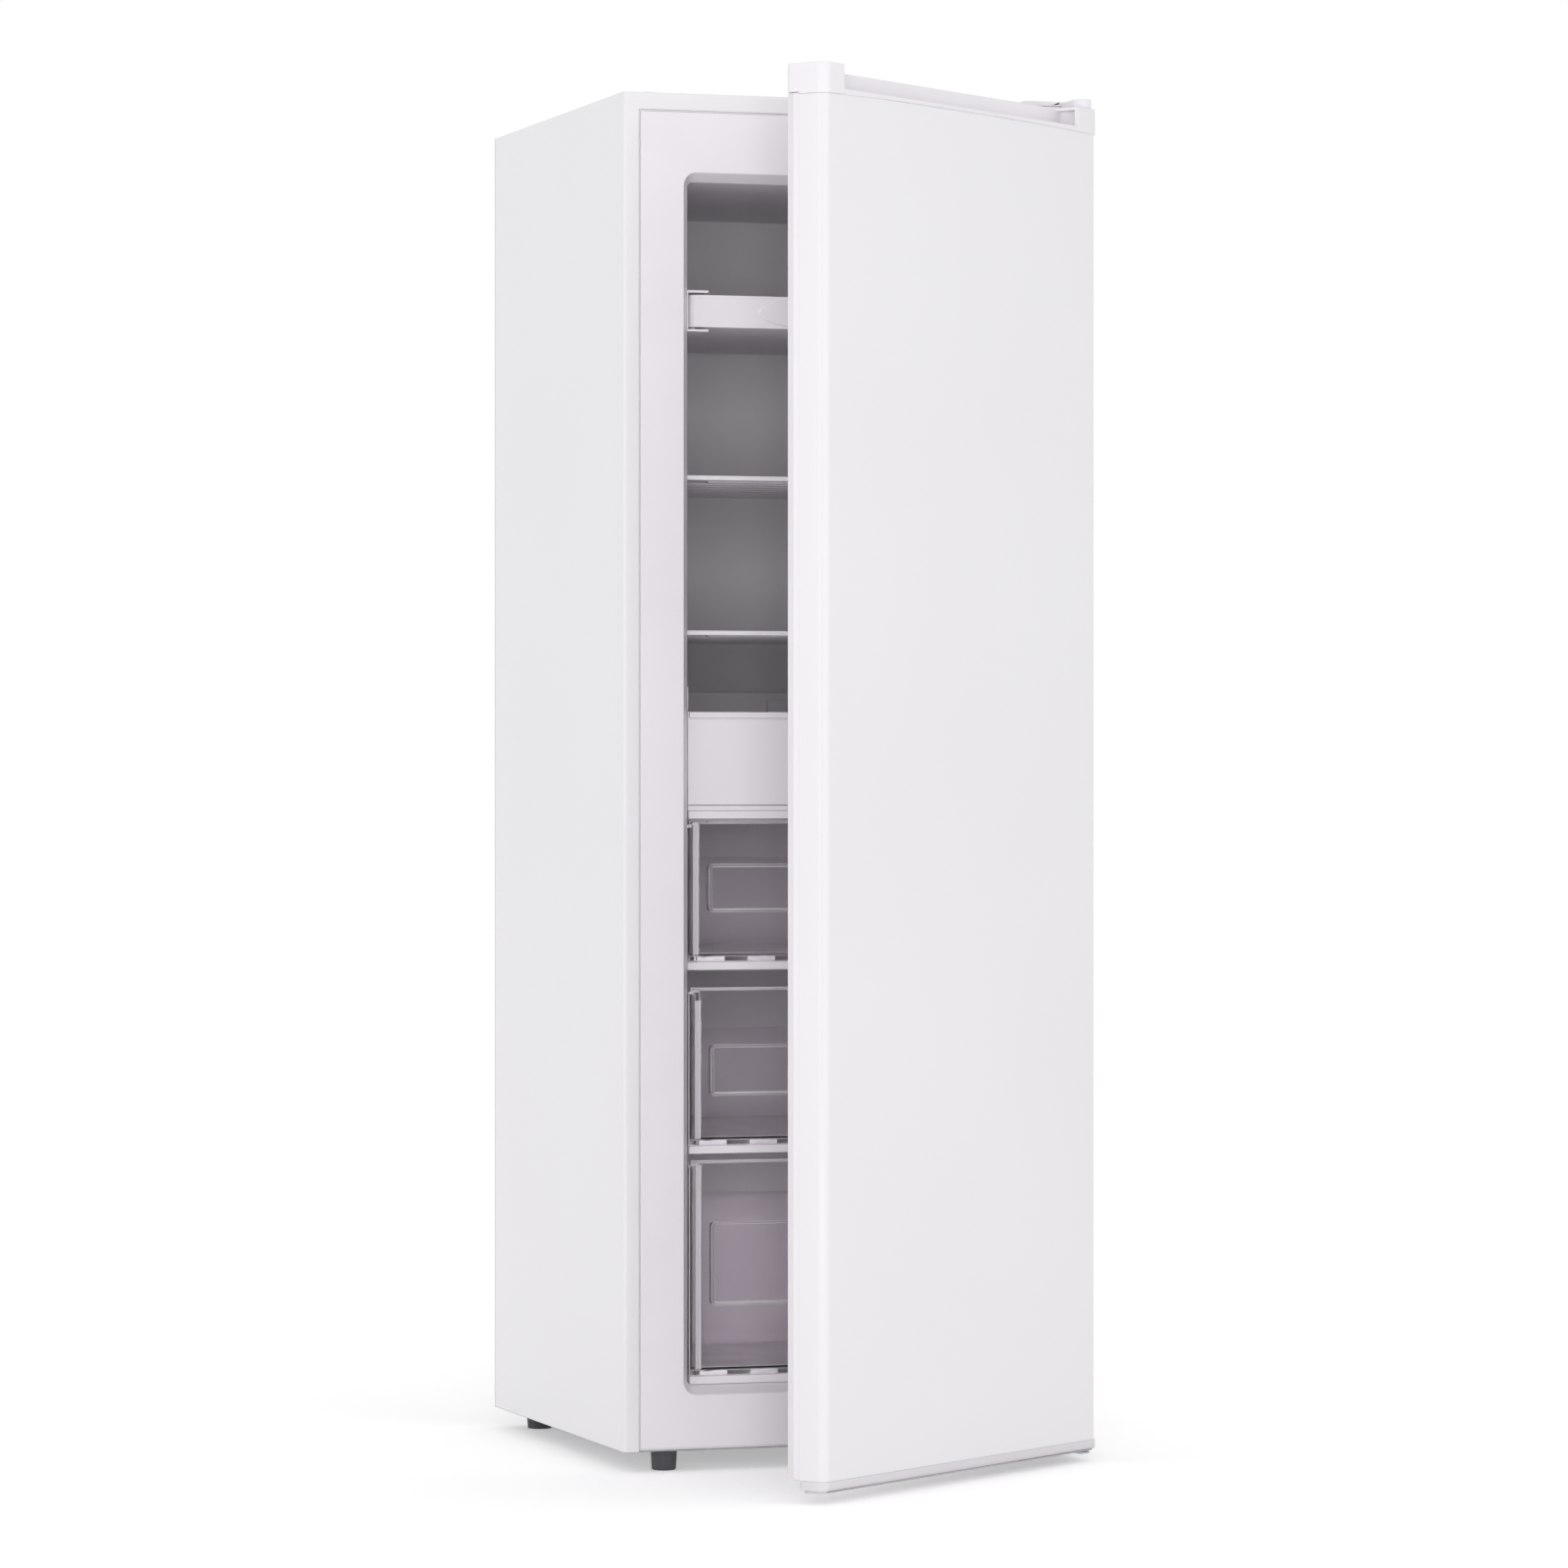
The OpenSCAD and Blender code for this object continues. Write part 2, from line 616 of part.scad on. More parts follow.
module condenser_path(r) {
    for (side = [-1, 1], k = [0:cond_runs - 1]) {
        z0 = k > 0 ? cond_low : side > 0 ? discharge_z : dryer_z;
        z1 = k == cond_runs - 1 ? cond_cross : cond_high;
        tube_z(r, side * cond_x, cond_y[k], z0, z1);
    }
    for (side = [-1, 1], k = [0:cond_runs - 2]) {
        y = (cond_y[k] + cond_y[k + 1]) / 2;
        half_turn(side * cond_x, y, k % 2 == 0 ? cond_high : cond_low, k % 2 == 0 ? 1 : -1, r);
    }
    for (side = [-1, 1]) translate([side * cond_x, cond_y[cond_runs - 1], cond_cross]) sphere(r);
    tube_x(r, -cond_x, cond_x, cond_y[cond_runs - 1], cond_cross);
}

module condenser_tube() color("saddlebrown") at_front() condenser_path(cond_r);

module suction_path(r) {
    translate([riser_x, suction_y, riser_low]) sphere(r);
    tube_z(r, riser_x, suction_y, suction_bend_z, riser_low);
    tube_y(r, riser_x, suction_y - suction_r - 2 + 0.1, suction_y, riser_low);
}

module suction_tube() color("saddlebrown") at_front() {
    suction_path(suction_r);
    translate([riser_x, suction_y, suction_bend_z]) sphere(suction_r);
    tube_x(suction_r, pot_x + pot_r - 4, riser_x, suction_y, suction_bend_z);
}

module discharge_tube() color("saddlebrown") at_front() difference() {
    tube_x(cond_r, pot_x + pot_r - 6, cond_x - cond_r - seat, cond_y[0], discharge_z);
    pot_cut();
}

module filter_dryer() color("peru") at_front() {
    top = dryer_z - 24;
    tube_z(dryer_r, -dryer_x, dryer_y, top - dryer_h, top);
    translate([-dryer_x, dryer_y, top]) cylinder(r1 = dryer_r, r2 = cond_r, h = 12);
    translate([-dryer_x, dryer_y, top - dryer_h - 12]) cylinder(r1 = 1.6, r2 = dryer_r, h = 12);
    tube_z(cond_r, -dryer_x, dryer_y, top + 10, dryer_z);
    translate([-dryer_x, dryer_y, dryer_z]) sphere(cond_r);
    tube_x(cond_r, -cond_x + cond_r + seat, -dryer_x, dryer_y, dryer_z);
}

module capillary_tube() color("peru") at_front() {
    end = dryer_z - 36 - dryer_h;
    low = end - 10;
    tube_z(capillary_r, -dryer_x, dryer_y, low, end);
    tube_x(capillary_r, -dryer_x, capillary_x, dryer_y, low);
    tube_z(capillary_r, capillary_x, dryer_y, low, bay_z - 1);
    for (x = [-dryer_x, capillary_x]) translate([x, dryer_y, low]) sphere(capillary_r);
}

module pot_cut() tube_z(pot_r, pot_x, pot_y, pot_z, pot_z + pot_h);

module compressor() color("dimgray") at_front() difference() {
    union() {
        translate([pot_x, pot_y, pot_z]) rotate_extrude() union() {
            translate([0, 10]) square([pot_r, pot_h * 0.62]);
            square([pot_r - 14, pot_h - 6]);
            square([pot_r - 10, 20]);
            translate([0, pot_h * 0.42]) square([pot_r + 4, 3]);
            intersection() {
                translate([0, pot_h - pot_r - 20]) circle(pot_r + 20);
                square([pot_r - 2, pot_h]);
            }
        }
        difference() {
            prism_z(pot_feet_x[0] - foot_edge, pot_feet_x[1] + foot_edge, pot_feet_y[0] - foot_edge,
                pot_feet_y[1] + foot_edge, pot_z - 3, pot_z, foot_edge);
            for (x = pot_feet_x, y = pot_feet_y) tube_z(grommet_r + 0.2, x, y, pot_z - 4, pot_z + cut);
        }
    }
    suction_hole();
}

module suction_hole() tube_x(suction_r + 0.1, pot_x + pot_r - 4.5, riser_x, suction_y, suction_bend_z);

module compressor_grommets() color("black") at_front() for (x = pot_feet_x, y = pot_feet_y) difference() {
    union() {
        tube_z(grommet_r + 3, x, y, plate_top, pot_z - 3.1);
        tube_z(grommet_r, x, y, pot_z - 4, pot_z + 1);
        tube_z(grommet_r + 2, x, y, pot_z + 0.3, pot_z + 4);
    }
    tube_z(bolt_r + 0.4, x, y, plate_top - cut, pot_z + 5);
}

module compressor_bolts() color("silver") at_front() for (x = pot_feet_x, y = pot_feet_y) {
    tube_z(bolt_r, x, y, base_z - 2, pot_z + 7);
    translate([x, y, pot_z + 4.1]) cylinder(r = 5.5, h = 4, $fn = 6);
    translate([x, y, pot_z + 4]) cylinder(r = 7, h = 0.8);
}

module terminal_cover() color("dimgray") at_front() difference() {
    prism_z(terminal_x, pot_x - pot_r + 6, pot_y - 26, pot_y + 26, pot_z + 22, pot_z + 80, 5);
    translate([0, 0, -cut]) tube_z(pot_r + 4.4, pot_x, pot_y, pot_z, pot_z + pot_h + 2 * cut);
    tube_z(gland_r + 0.1, gland_x, pot_y, pot_z + 20, pot_z + 30);
}

module cord_gland() color("black") at_front() difference() {
    union() {
        tube_z(gland_r, gland_x, pot_y, pot_z + 12, pot_z + 29);
        tube_z(gland_r + 3, gland_x, pot_y, pot_z + 17, pot_z + 21.9);
    }
    tube_z(gland_bore_r, gland_x, pot_y, pot_z + 11, pot_z + 30);
}

module thermostat_box() color("whitesmoke") at_front() difference() {
    prism_z(knob_x - box_w / 2, knob_x + box_w / 2, box_y - box_d, box_y, knob_z - 26, bay_z - 1 - seat, 4);
    tube_y(shaft_r + pin_clear, knob_x, box_y - 14, box_y + cut, knob_z);
}

module thermostat_knob() color("white") at_front() {
    tube_y(shaft_r, knob_x, box_y - 12, box_y + cut, knob_z);
    difference() {
        tube_y(knob_r, knob_x, box_y + seat, box_y + seat + knob_h, knob_z);
        for (side = [0, 1]) mirror([side, 0, 0]) translate([(1 - 2 * side) * knob_x, 0, 0])
            block(3, knob_r + cut, box_y + 5, rear_y, knob_z - knob_r - cut, knob_z + knob_r + cut);
    }
}

module drain_tube() color("gray") at_front() difference() {
    tube_z(drain_r, 0, drain_y, base_z - 8, room_z0 - liner_t - seat);
    tube_z(drain_r - 2, 0, drain_y, base_z - 9, room_z0);
}

// Feet, legs and hinges

module levelling_leg(x) color("dimgray") at_front() translate([x, leg_back, 0]) {
    rotate_extrude() union() {
        square([leg_r - 3, 3]);
        translate([leg_r - 3, 2]) circle(2);
        polygon([[0, 2], [leg_r - 1, 2], [leg_r, foot_h - 3], [leg_r, foot_h - seat], [0, foot_h - seat]]);
    }
    cylinder(r = stud_r, h = foot_h + 17);
}

module levelling_leg_left() levelling_leg(-leg_x);
module levelling_leg_right() levelling_leg(leg_x);

module leg_nuts() color("silver") at_front() for (side = [-1, 1])
    translate([side * leg_x, leg_back, base_z + 1]) difference() {
        cylinder(r = 8, h = 7, $fn = 6);
        translate([0, 0, -cut]) cylinder(r = stud_r + 0.05, h = 10);
    }

module rear_feet() color("dimgray") at_front() for (side = [-1, 1])
    translate([side * (half_w - 40), cab_d - 40, 0])
        cylinder(r1 = rear_foot_r - 2, r2 = rear_foot_r, h = foot_h);

// A hinge plate seen from above: a wide foot on the cabinet and a narrow tab out to the pin
module hinge_plan(foot_y) {
    translate([hinge_x, foot_y]) square([hinge_w, hinge_l - foot_y]);
    translate([pin_x - hinge_tab_w / 2, pin_y]) square([hinge_tab_w, foot_y + 6 - pin_y]);
    translate([pin_x, pin_y]) circle(hinge_tab_w / 2);
}

module top_hinge() color("silver") at_front() {
    difference() {
        translate([0, 0, top_z]) linear_extrude(hinge_t) hinge_plan(4);
        for (y = hinge_screw_y)
            tube_z(screw_r + 0.1, hinge_x + hinge_w / 2, y, top_z - cut, top_z + hinge_t + cut);
    }
    tube_z(pin_r, pin_x, pin_y, block_top - 16, top_z + hinge_t);
}

module bottom_hinge() color("silver") at_front() {
    difference() {
        block(hinge_x, hinge_x + hinge_w, 1, hinge_l, base_z - hinge_t, base_z);
        for (y = hinge_screw_y)
            tube_z(screw_r + 0.1, hinge_x + hinge_w / 2, y, base_z - hinge_t - cut, base_z + cut);
        tube_z(leg_r + 1, leg_x, leg_back, base_z - hinge_t - cut, base_z + cut);
    }
    block(pin_x - hinge_tab_w / 2, hinge_x + hinge_w, 1, 1 + hinge_t, tab_z, base_z);
    translate([0, 0, tab_z]) linear_extrude(hinge_t) union() {
        translate([pin_x - hinge_tab_w / 2, pin_y]) square([hinge_tab_w, 1 + hinge_t - pin_y]);
        translate([pin_x, pin_y]) circle(hinge_tab_w / 2);
    }
    tube_z(pin_r, pin_x, pin_y, tab_z, door_z0 + 20);
}

// Two pan-head screws in each hinge plate
module hinge_screws() color("silver") at_front() for (y = hinge_screw_y) {
    x = hinge_x + hinge_w / 2;
    tube_z(screw_r, x, y, top_z - 14, top_z + hinge_t + 1);
    tube_z(head_r, x, y, top_z + hinge_t, top_z + hinge_t + 1.8);
    tube_z(screw_r, x, y, base_z - hinge_t - 1, base_z + 1);
    tube_z(head_r, x, y, base_z - hinge_t - 1.8, base_z - hinge_t);
}

cover_roof = 1.2;
cover_top = top_z + hinge_t + 3.2;
nose_top = top_z + hinge_t + cover_roof + seat;
nose_low = block_top + 0.5;

module hinge_cover_plan(grow) {
    rounded_rect(hinge_x - 4 - grow, half_w - 1.5 + grow, 2 - grow, hinge_l + 6 + grow, 6 + grow);
}

module nose_plan(grow) {
    translate([pin_x - 1, pin_y]) circle(nose_r + grow);
    translate([pin_x - 1 - nose_r - grow, pin_y]) square([2 * (nose_r + grow), 12 - pin_y]);
}

module hinge_cover() color("white") at_front() difference() {
    union() {
        translate([0, 0, top_z + 0.1]) linear_extrude(cover_top - top_z - 0.1) hinge_cover_plan(0);
        translate([0, 0, nose_low]) linear_extrude(nose_top - nose_low) intersection() {
            nose_plan(1);
            translate([0, pin_y - 30]) square([half_w + 5, 29.5 - pin_y]);
        }
        translate([0, 0, top_z + 0.1]) linear_extrude(nose_top - top_z - 0.1) nose_plan(1);
    }
    translate([0, 0, top_z - cut]) linear_extrude(cover_top - cover_roof - top_z + cut)
        hinge_cover_plan(-cover_roof);
    translate([0, 0, nose_low - cut]) linear_extrude(nose_top - cover_roof - nose_low + cut)
        nose_plan(-0.2);
}

// Plugs in the spare screw holes, for a door hung on the other side
module spare_hole_plugs() color("white") at_front() for (y = hinge_screw_y) {
    x = -hinge_x - hinge_w / 2;
    tube_z(screw_r - 0.1, x, y, top_z - 8, top_z + 1);
    tube_z(head_r + 1, x, y, top_z + 0.05, top_z + 1.2);
}

// Door, drawn closed

// The skin's plan, moved inwards by inset, from the front face back to depth
module skin_plan(inset, depth) {
    w = door_w - 2 * inset;
    r = door_r - inset;
    y0 = -door_t + inset;
    translate([-w / 2, y0 + r]) square([w, depth - inset - r]);
    translate([-w / 2 + r, y0]) square([w - 2 * r, depth - inset]);
    for (x = [-w / 2 + r, w / 2 - r]) translate([x, y0 + r]) circle(r);
}

module door_skin() color("white") at_door() difference() {
    translate([0, 0, skin_z0]) linear_extrude(skin_z1 - skin_z0) skin_plan(0, skin_d);
    translate([0, 0, skin_z0 - cut]) linear_extrude(skin_z1 - skin_z0 + 2 * cut)
        skin_plan(steel_t, skin_d + cut);
}

panel_t = 1.5;
rim_y = -door_t + skin_d;
panel_y = rim_y + rim_h;
rim_x = door_w / 2 - 0.5;
field_y = -2;
dike_x = room_x - 3;
dike_z0 = room_z0 + 3;
dike_z1 = room_z1 - 3;
dike_r = 12;

module door_liner() color("whitesmoke") at_door() difference() {
    union() {
        block(-rim_x, rim_x, rim_y, panel_y, skin_z0 + seat, skin_z1 - seat);
        prism_y(-dike_x, dike_x, panel_y - panel_t, dike_in, dike_z0, dike_z1, dike_r);
    }
    block(-rim_x + panel_t, rim_x - panel_t, rim_y - cut, panel_y - panel_t, skin_z0 + seat + panel_t,
        skin_z1 - seat - panel_t);
    prism_y(-dike_x + dike_w, dike_x - dike_w, field_y, dike_in + cut, dike_z0 + dike_w, dike_z1 - dike_w,
        dike_r);
    dike_hollow(0);
}

// The space inside the door liner's raised frame, made smaller by shrink for the foam that fills it
module dike_hollow(shrink) {
    t = panel_t + shrink;
    difference() {
        prism_y(-dike_x + t, dike_x - t, panel_y - panel_t - cut, dike_in - t, dike_z0 + t, dike_z1 - t,
            dike_r - t);
        prism_y(-dike_x + dike_w - t, dike_x - dike_w + t, field_y - t, dike_in + cut,
            dike_z0 + dike_w - t, dike_z1 - dike_w + t, dike_r + t);
    }
}

module door_foam() color("khaki") at_door() difference() {
    union() {
        translate([0, 0, skin_z0 + seat]) linear_extrude(skin_z1 - skin_z0 - 2 * seat)
            skin_plan(steel_t + foam_gap, skin_d - foam_gap);
        block(-rim_x + panel_t + foam_gap, rim_x - panel_t - foam_gap, rim_y - cut,
            panel_y - panel_t - foam_gap, skin_z0 + seat + panel_t + foam_gap,
            skin_z1 - seat - panel_t - foam_gap);
        dike_hollow(foam_gap);
    }
    for (z = [skin_z0 - cut, skin_z1 - 22]) tube_z(bush_r + 2, pin_x, pin_y, z, z + 24);
}

gasket_x = door_w / 2 - gasket_in;
gasket_z0 = skin_z0 + 1;
gasket_z1 = skin_z1 - 0.5;
gasket_slant = 2.6;
gasket_foot = 3;
magnet_w = 7;
magnet_t = 2;

// Four lengths of one profile (x outwards from the edge, y along +Y), joined at corners that are mitred
// and, by lap, run into one another
module mitred_frame(half, z0, z1, width, lap) {
    mid = (z0 + z1) / 2;
    tall = (z1 - z0) / 2;
    for (side = [0:3]) {
        across = side % 2 == 0 ? half : tall;
        along = side % 2 == 0 ? tall : half;
        translate([0, 0, mid]) rotate([0, 90 * side, 0]) intersection() {
            translate([across, 0, -along]) linear_extrude(2 * along) children();
            rotate([90, 0, 0]) linear_extrude(4 * width, center = true) polygon([
                [across + cut, -along - cut - lap],
                [across + cut, along + cut + lap],
                [across - width, along - width + lap],
                [across - width, -along + width - lap]
            ]);
        }
    }
}

module door_gasket() color("gainsboro") at_door() difference() {
    mitred_frame(gasket_x, gasket_z0, gasket_z1, gasket_w + 1, 0) polygon([
        [0, panel_y],
        [0, -gasket_slant],
        [gasket_in - pin_in, -gasket_gap],
        [-gasket_w + 2, -gasket_gap],
        [-gasket_w, -2],
        [-gasket_w + gasket_foot, panel_y + gasket_slant],
        [-gasket_w + gasket_foot, panel_y]
    ]);
    magnet_frame(0.1);
}

module magnet_frame(grow) mitred_frame(gasket_x, gasket_z0, gasket_z1, gasket_w + 1, 0.01)
    translate([-gasket_w + 2.5 - grow, -gasket_gap - 3 - grow])
        square([magnet_w + 2 * grow, magnet_t + 2 * grow]);

module gasket_magnets() color("dimgray") at_door() magnet_frame(0);

// The plan of the caps, standing proud of the skin
module cap_plan(depth) {
    w = door_w + 2 * cap_proud;
    r = door_r + cap_proud;
    y0 = -door_t - cap_proud;
    back = y0 + cap_proud + depth;
    translate([-w / 2, y0 + r]) square([w, back - y0 - r - cap_back_r]);
    translate([-w / 2 + r, y0]) square([w - 2 * r, back - y0 - cap_back_r]);
    translate([-w / 2 + cap_back_r, y0 + r]) square([w - 2 * cap_back_r, back - y0 - r]);
    for (x = [-w / 2 + r, w / 2 - r]) translate([x, y0 + r]) circle(r);
    for (x = [-w / 2 + cap_back_r, w / 2 - cap_back_r]) translate([x, back - cap_back_r])
        circle(cap_back_r);
}

recess_x = door_w / 2 - block_w;
cover_lap = 5;
cover_t = 2.4;
cap_back_r = 5;
arch_x = door_w / 2 - door_r - 2;
arch_steps = 16;
lip_arch_rise = 1;
lip_end = arch_x * arch_x / (2 * lip_arch_r) - lip_arch_rise;

module door_top_cap() color("white") at_door() difference() {
    union() {
        translate([0, 0, skin_z1]) linear_extrude(cap_flange) difference() {
            cap_plan(cap_d);
            cover_end(0) difference() {
                square([2 * door_w, 4 * cap_d], center = true);
                cap_hollow(seat);
            }
        }
        translate([0, 0, skin_z1 + cap_flange]) linear_extrude(top_cap_h - cap_flange) difference() {
            cap_plan(cap_d);
            translate([-recess_x - cover_lap, -door_t - cut - cap_proud])
                square([2 * recess_x + cover_lap, recess_d + cut + cap_proud]);
            cover_end(0) square([2 * door_w, 4 * cap_d], center = true);
        }
        translate([0, 0, skin_z1 - lip_end]) linear_extrude(lip_end) difference() {
            lip_plan();
            cover_end(0) square([2 * door_w, 4 * cap_d], center = true);
        }
    }
    lip_arch();
    finger_pocket();
    tube_z(bush_r + 0.05, pin_x, pin_y, skin_z1 - cut, block_top + cut);
}

// Cuts the lower edge of the front lip to a shallow arch, in short straight steps
module lip_arch() translate([0, -door_t - 0.05, 0]) rotate([90, 0, 0]) linear_extrude(cap_proud + cut)
    polygon([
        [arch_x, skin_z1 - lip_end - cut],
        [-arch_x, skin_z1 - lip_end - cut],
        for (n = [0:arch_steps]) let (x = arch_x * (2 * n / arch_steps - 1))
            [x, skin_z1 + lip_arch_rise - x * x / (2 * lip_arch_r)]
    ]);

// What lies at the door's free end, beyond the recess by more than short
module cover_end(short) intersection() {
    children();
    translate([-2 * door_w, -door_t - cap_d])
        square([2 * door_w - recess_x - cover_lap - short, 3 * cap_d]);
}

// The end of the recess, hollowed out under the top of the block
module finger_pocket() {
    roof = 3;
    front = 4;
    r = 6;
    translate([0, 0, skin_z1 + cap_flange]) linear_extrude(top_cap_h - cap_flange - roof)
        rounded_rect(recess_x - 2 * r, recess_x + pocket_w, -door_t + front, -door_t + recess_d, r);
}

// The raised cover over the spare hinge socket, at the door's free corner
module corner_cover() color("white") at_door() difference() {
    union() {
        translate([0, 0, skin_z1 + 0.05]) linear_extrude(cap_flange + cover_h) cover_end(0.1) cap_plan(cap_d);
        translate([0, 0, skin_z1 - lip_end]) linear_extrude(lip_end + cut) cover_end(0.1) lip_plan();
    }
    lip_arch();
    translate([-recess_x - cover_lap, -door_t - 20, skin_z1 + cap_flange + cover_h]) rotate([0, 38, 0])
        translate([-12, 0, 0]) cube([24, 90, 8]);
    translate([0, 0, skin_z1 - cut]) linear_extrude(cut + cap_flange + 0.05) cover_end(-cut) cap_hollow(0);
    translate([0, 0, skin_z1]) linear_extrude(cap_flange + cover_h - cover_t)
        cover_end(cover_t) cap_hollow(0);
}

// The plan of the lip that hangs from a cap over the skin
module lip_plan() difference() {
    cap_plan(cap_d);
    skin_plan(-0.05, cap_d + cut);
    translate([-door_w, -door_t + skin_d]) square([2 * door_w, cap_d]);
}

// The space inside the cover's walls, made smaller by shrink for what fills it at the flange's height
module cap_hollow(shrink) {
    t = 1.6 + shrink;
    rounded_rect(-door_w / 2 + t, door_w / 2 - t, -door_t + t, -door_t + cap_d - cover_t - shrink,
        8 - shrink);
}

module door_bottom_cap() color("white") at_door() difference() {
    union() {
        translate([0, 0, door_z0 + 3]) linear_extrude(low_cap_h - 3) cap_plan(skin_d);
        translate([0, 0, door_z0]) linear_extrude(4) intersection() {
            cap_plan(skin_d);
            rounded_rect(-door_w / 2 + 1.5, door_w / 2 - 1.5, -door_t + 1.5, -door_t + skin_d - 1.5, 9);
        }
    }
    rounded_front_edge();
    tube_z(bush_r + 0.05, pin_x, pin_y, door_z0 - cut, skin_z0 + cut);
}

// What is cut from the lower cap's front edge to round it
module rounded_front_edge() difference() {
    block(-door_w, door_w, -door_t - cap_proud - cut, -door_t - cap_proud + low_cap_r,
        door_z0 - cut, door_z0 + low_cap_r);
    translate([-door_w - cut, -door_t - cap_proud + low_cap_r, door_z0 + low_cap_r]) rotate([0, 90, 0])
        cylinder(r = low_cap_r, h = 2 * door_w + 2 * cut);
}

// The two flanged sleeves that turn on the hinge pins
module hinge_bushes() color("gray") at_door() difference() {
    union() {
        tube_z(bush_r, pin_x, pin_y, skin_z1 - 16, block_top);
        tube_z(bush_r, pin_x, pin_y, door_z0, door_z0 + 26);
    }
    tube_z(pin_r + pin_clear, pin_x, pin_y, block_top - 17, block_top + cut);
    tube_z(pin_r + pin_clear, pin_x, pin_y, door_z0 - cut, door_z0 + 21);
}

// Tray, bin and drawers

// The outline of the tray's pad, drawn in by a distance: an ellipse cut off above and below
module pad_outline(inset) intersection() {
    polygon([for (a = [0:3.75:356.25]) [(pad_w / 2 - inset) * cos(a), (pad_h / 2 - inset) * sin(a)]]);
    square([pad_w, tray_h - 2 * pad_rim - 2 * inset], center = true);
}

// The pad for the fingertips, raised from the tray's front with a chamfered edge
module tray_pad() translate([0, tray_front, tray_low + tray_h / 2]) rotate([90, 0, 0]) hull() {
    translate([0, 0, -wall_t / 2]) linear_extrude(wall_t / 2) pad_outline(0);
    linear_extrude(pad_d) pad_outline(pad_d);
}

module top_tray() color("white") at_front() {
    z0 = tray_low;
    y1 = drawer_rear;
    difference() {
        prism_z(-tray_x, tray_x, tray_front, y1, z0, z0 + tray_h, tray_r);
        prism_z(-tray_x + wall_t, tray_x - wall_t, tray_front + wall_t, y1 - wall_t, z0 + wall_t,
            z0 + tray_h + cut, tray_r - wall_t);
    }
    tray_pad();
    for (side = [-1, 1])
        block(side * (tray_x - 6) - 2, side * (tray_x - 6) + 2, tray_front + 10, y1 - 10, z0 - 2, z0 + 0.5);
}

// The white rail and runners that carry one drawer, with its lower face at z
module drawer_rail(z, front, rear) color("white") at_front() {
    prism_z(-front_w / 2 + 1, front_w / 2 - 1, front - 0.5, front + rail_d, z, z + rail_h, 2);
    for (x = runner_offsets) {
        block(x - runner_w / 2, x + runner_w / 2, front + rail_d - cut, rear - 4, z,
            z + rail_h + runner_rise);
        block(x - runner_w / 2, x + runner_w / 2, front + clear_t + 1, front + rail_d - cut,
            z + rail_h - cut, z + rail_h + runner_rise);
    }
}

// A clear drawer on its rail: a front panel with a pressed finger grip, and an open tub behind it
module clear_drawer(z, front, rear, front_h, tub_h, grip_z, grip_h)
color("lightsteelblue", 0.5) at_front() {
    low = z + rail_h + seat;
    top = low + front_h;
    floor_z = low + runner_rise;
    difference() {
        union() {
            prism_z(-front_w / 2, front_w / 2, front, front + wing_d, low, top - rim_drop, 6);
            prism_z(-tub_w / 2, tub_w / 2, front, rear, floor_z, floor_z + tub_h, 7);
            block(-front_w / 2 + 3, front_w / 2 - 3, front, front + clear_t + 2, top - rim_drop - cut, top);
            prism_y(-grip_w / 2, grip_w / 2, front + 1, front + grip_d + clear_t, z + grip_z,
                z + grip_z + grip_h, 4);
        }
        difference() {
            prism_z(-tub_w / 2 + clear_t, tub_w / 2 - clear_t, front + clear_t, rear - clear_t,
                floor_z + clear_t, top - clear_t, 5);
            prism_y(-grip_w / 2, grip_w / 2, front - cut, front + grip_d + clear_t, z + grip_z,
                z + grip_z + grip_h, 4);
        }
        block(-tub_w / 2 + clear_t, tub_w / 2 - clear_t, front + clear_t + 2.1, front + wing_d + cut,
            top - 2 * clear_t, top + cut);
        block(-front_w / 2 + clear_t, front_w / 2 - clear_t, front + clear_t, front + wing_d + cut,
            low - cut, floor_z - 0.01);
        for (side = [0, 1]) mirror([side, 0, 0])
            block(tub_w / 2 + 0.01, tub_w / 2 + wing - clear_t, front + clear_t, front + wing_d + cut,
                low - cut, top - rim_drop - clear_t);
        prism_y(-grip_w / 2 + clear_t, grip_w / 2 - clear_t, front - cut, front + grip_d,
            z + grip_z + clear_t, z + grip_z + grip_h - clear_t, 3);
    }
}

wing_d = 8.4;
rim_drop = 4;

module upper_drawer() clear_drawer(upper_low, upper_front_y, drawer_rear, upper_front_h,
    upper_tub_h, upper_grip_z + rail_h, upper_grip_h);
module middle_drawer() clear_drawer(middle_low, middle_front_y, drawer_rear, middle_front_h,
    middle_tub_h, middle_grip_z + rail_h, middle_grip_h);
module lower_drawer() clear_drawer(lower_low, lower_front_y, lower_rear, lower_front_h,
    lower_tub_h, lower_grip_z + rail_h, lower_grip_h);

module upper_drawer_rail() drawer_rail(upper_low, upper_front_y, drawer_rear);
module middle_drawer_rail() drawer_rail(middle_low, middle_front_y, drawer_rear);
module lower_drawer_rail() drawer_rail(lower_low, lower_front_y, lower_rear);
module bin_rail() drawer_rail(bin_low_z, bin_front_y, drawer_rear);

bin_low = bin_low_z + rail_h + seat;
bin_top = bin_low + bin_front_h;
bin_tub_top = bin_low + bin_tub_h;

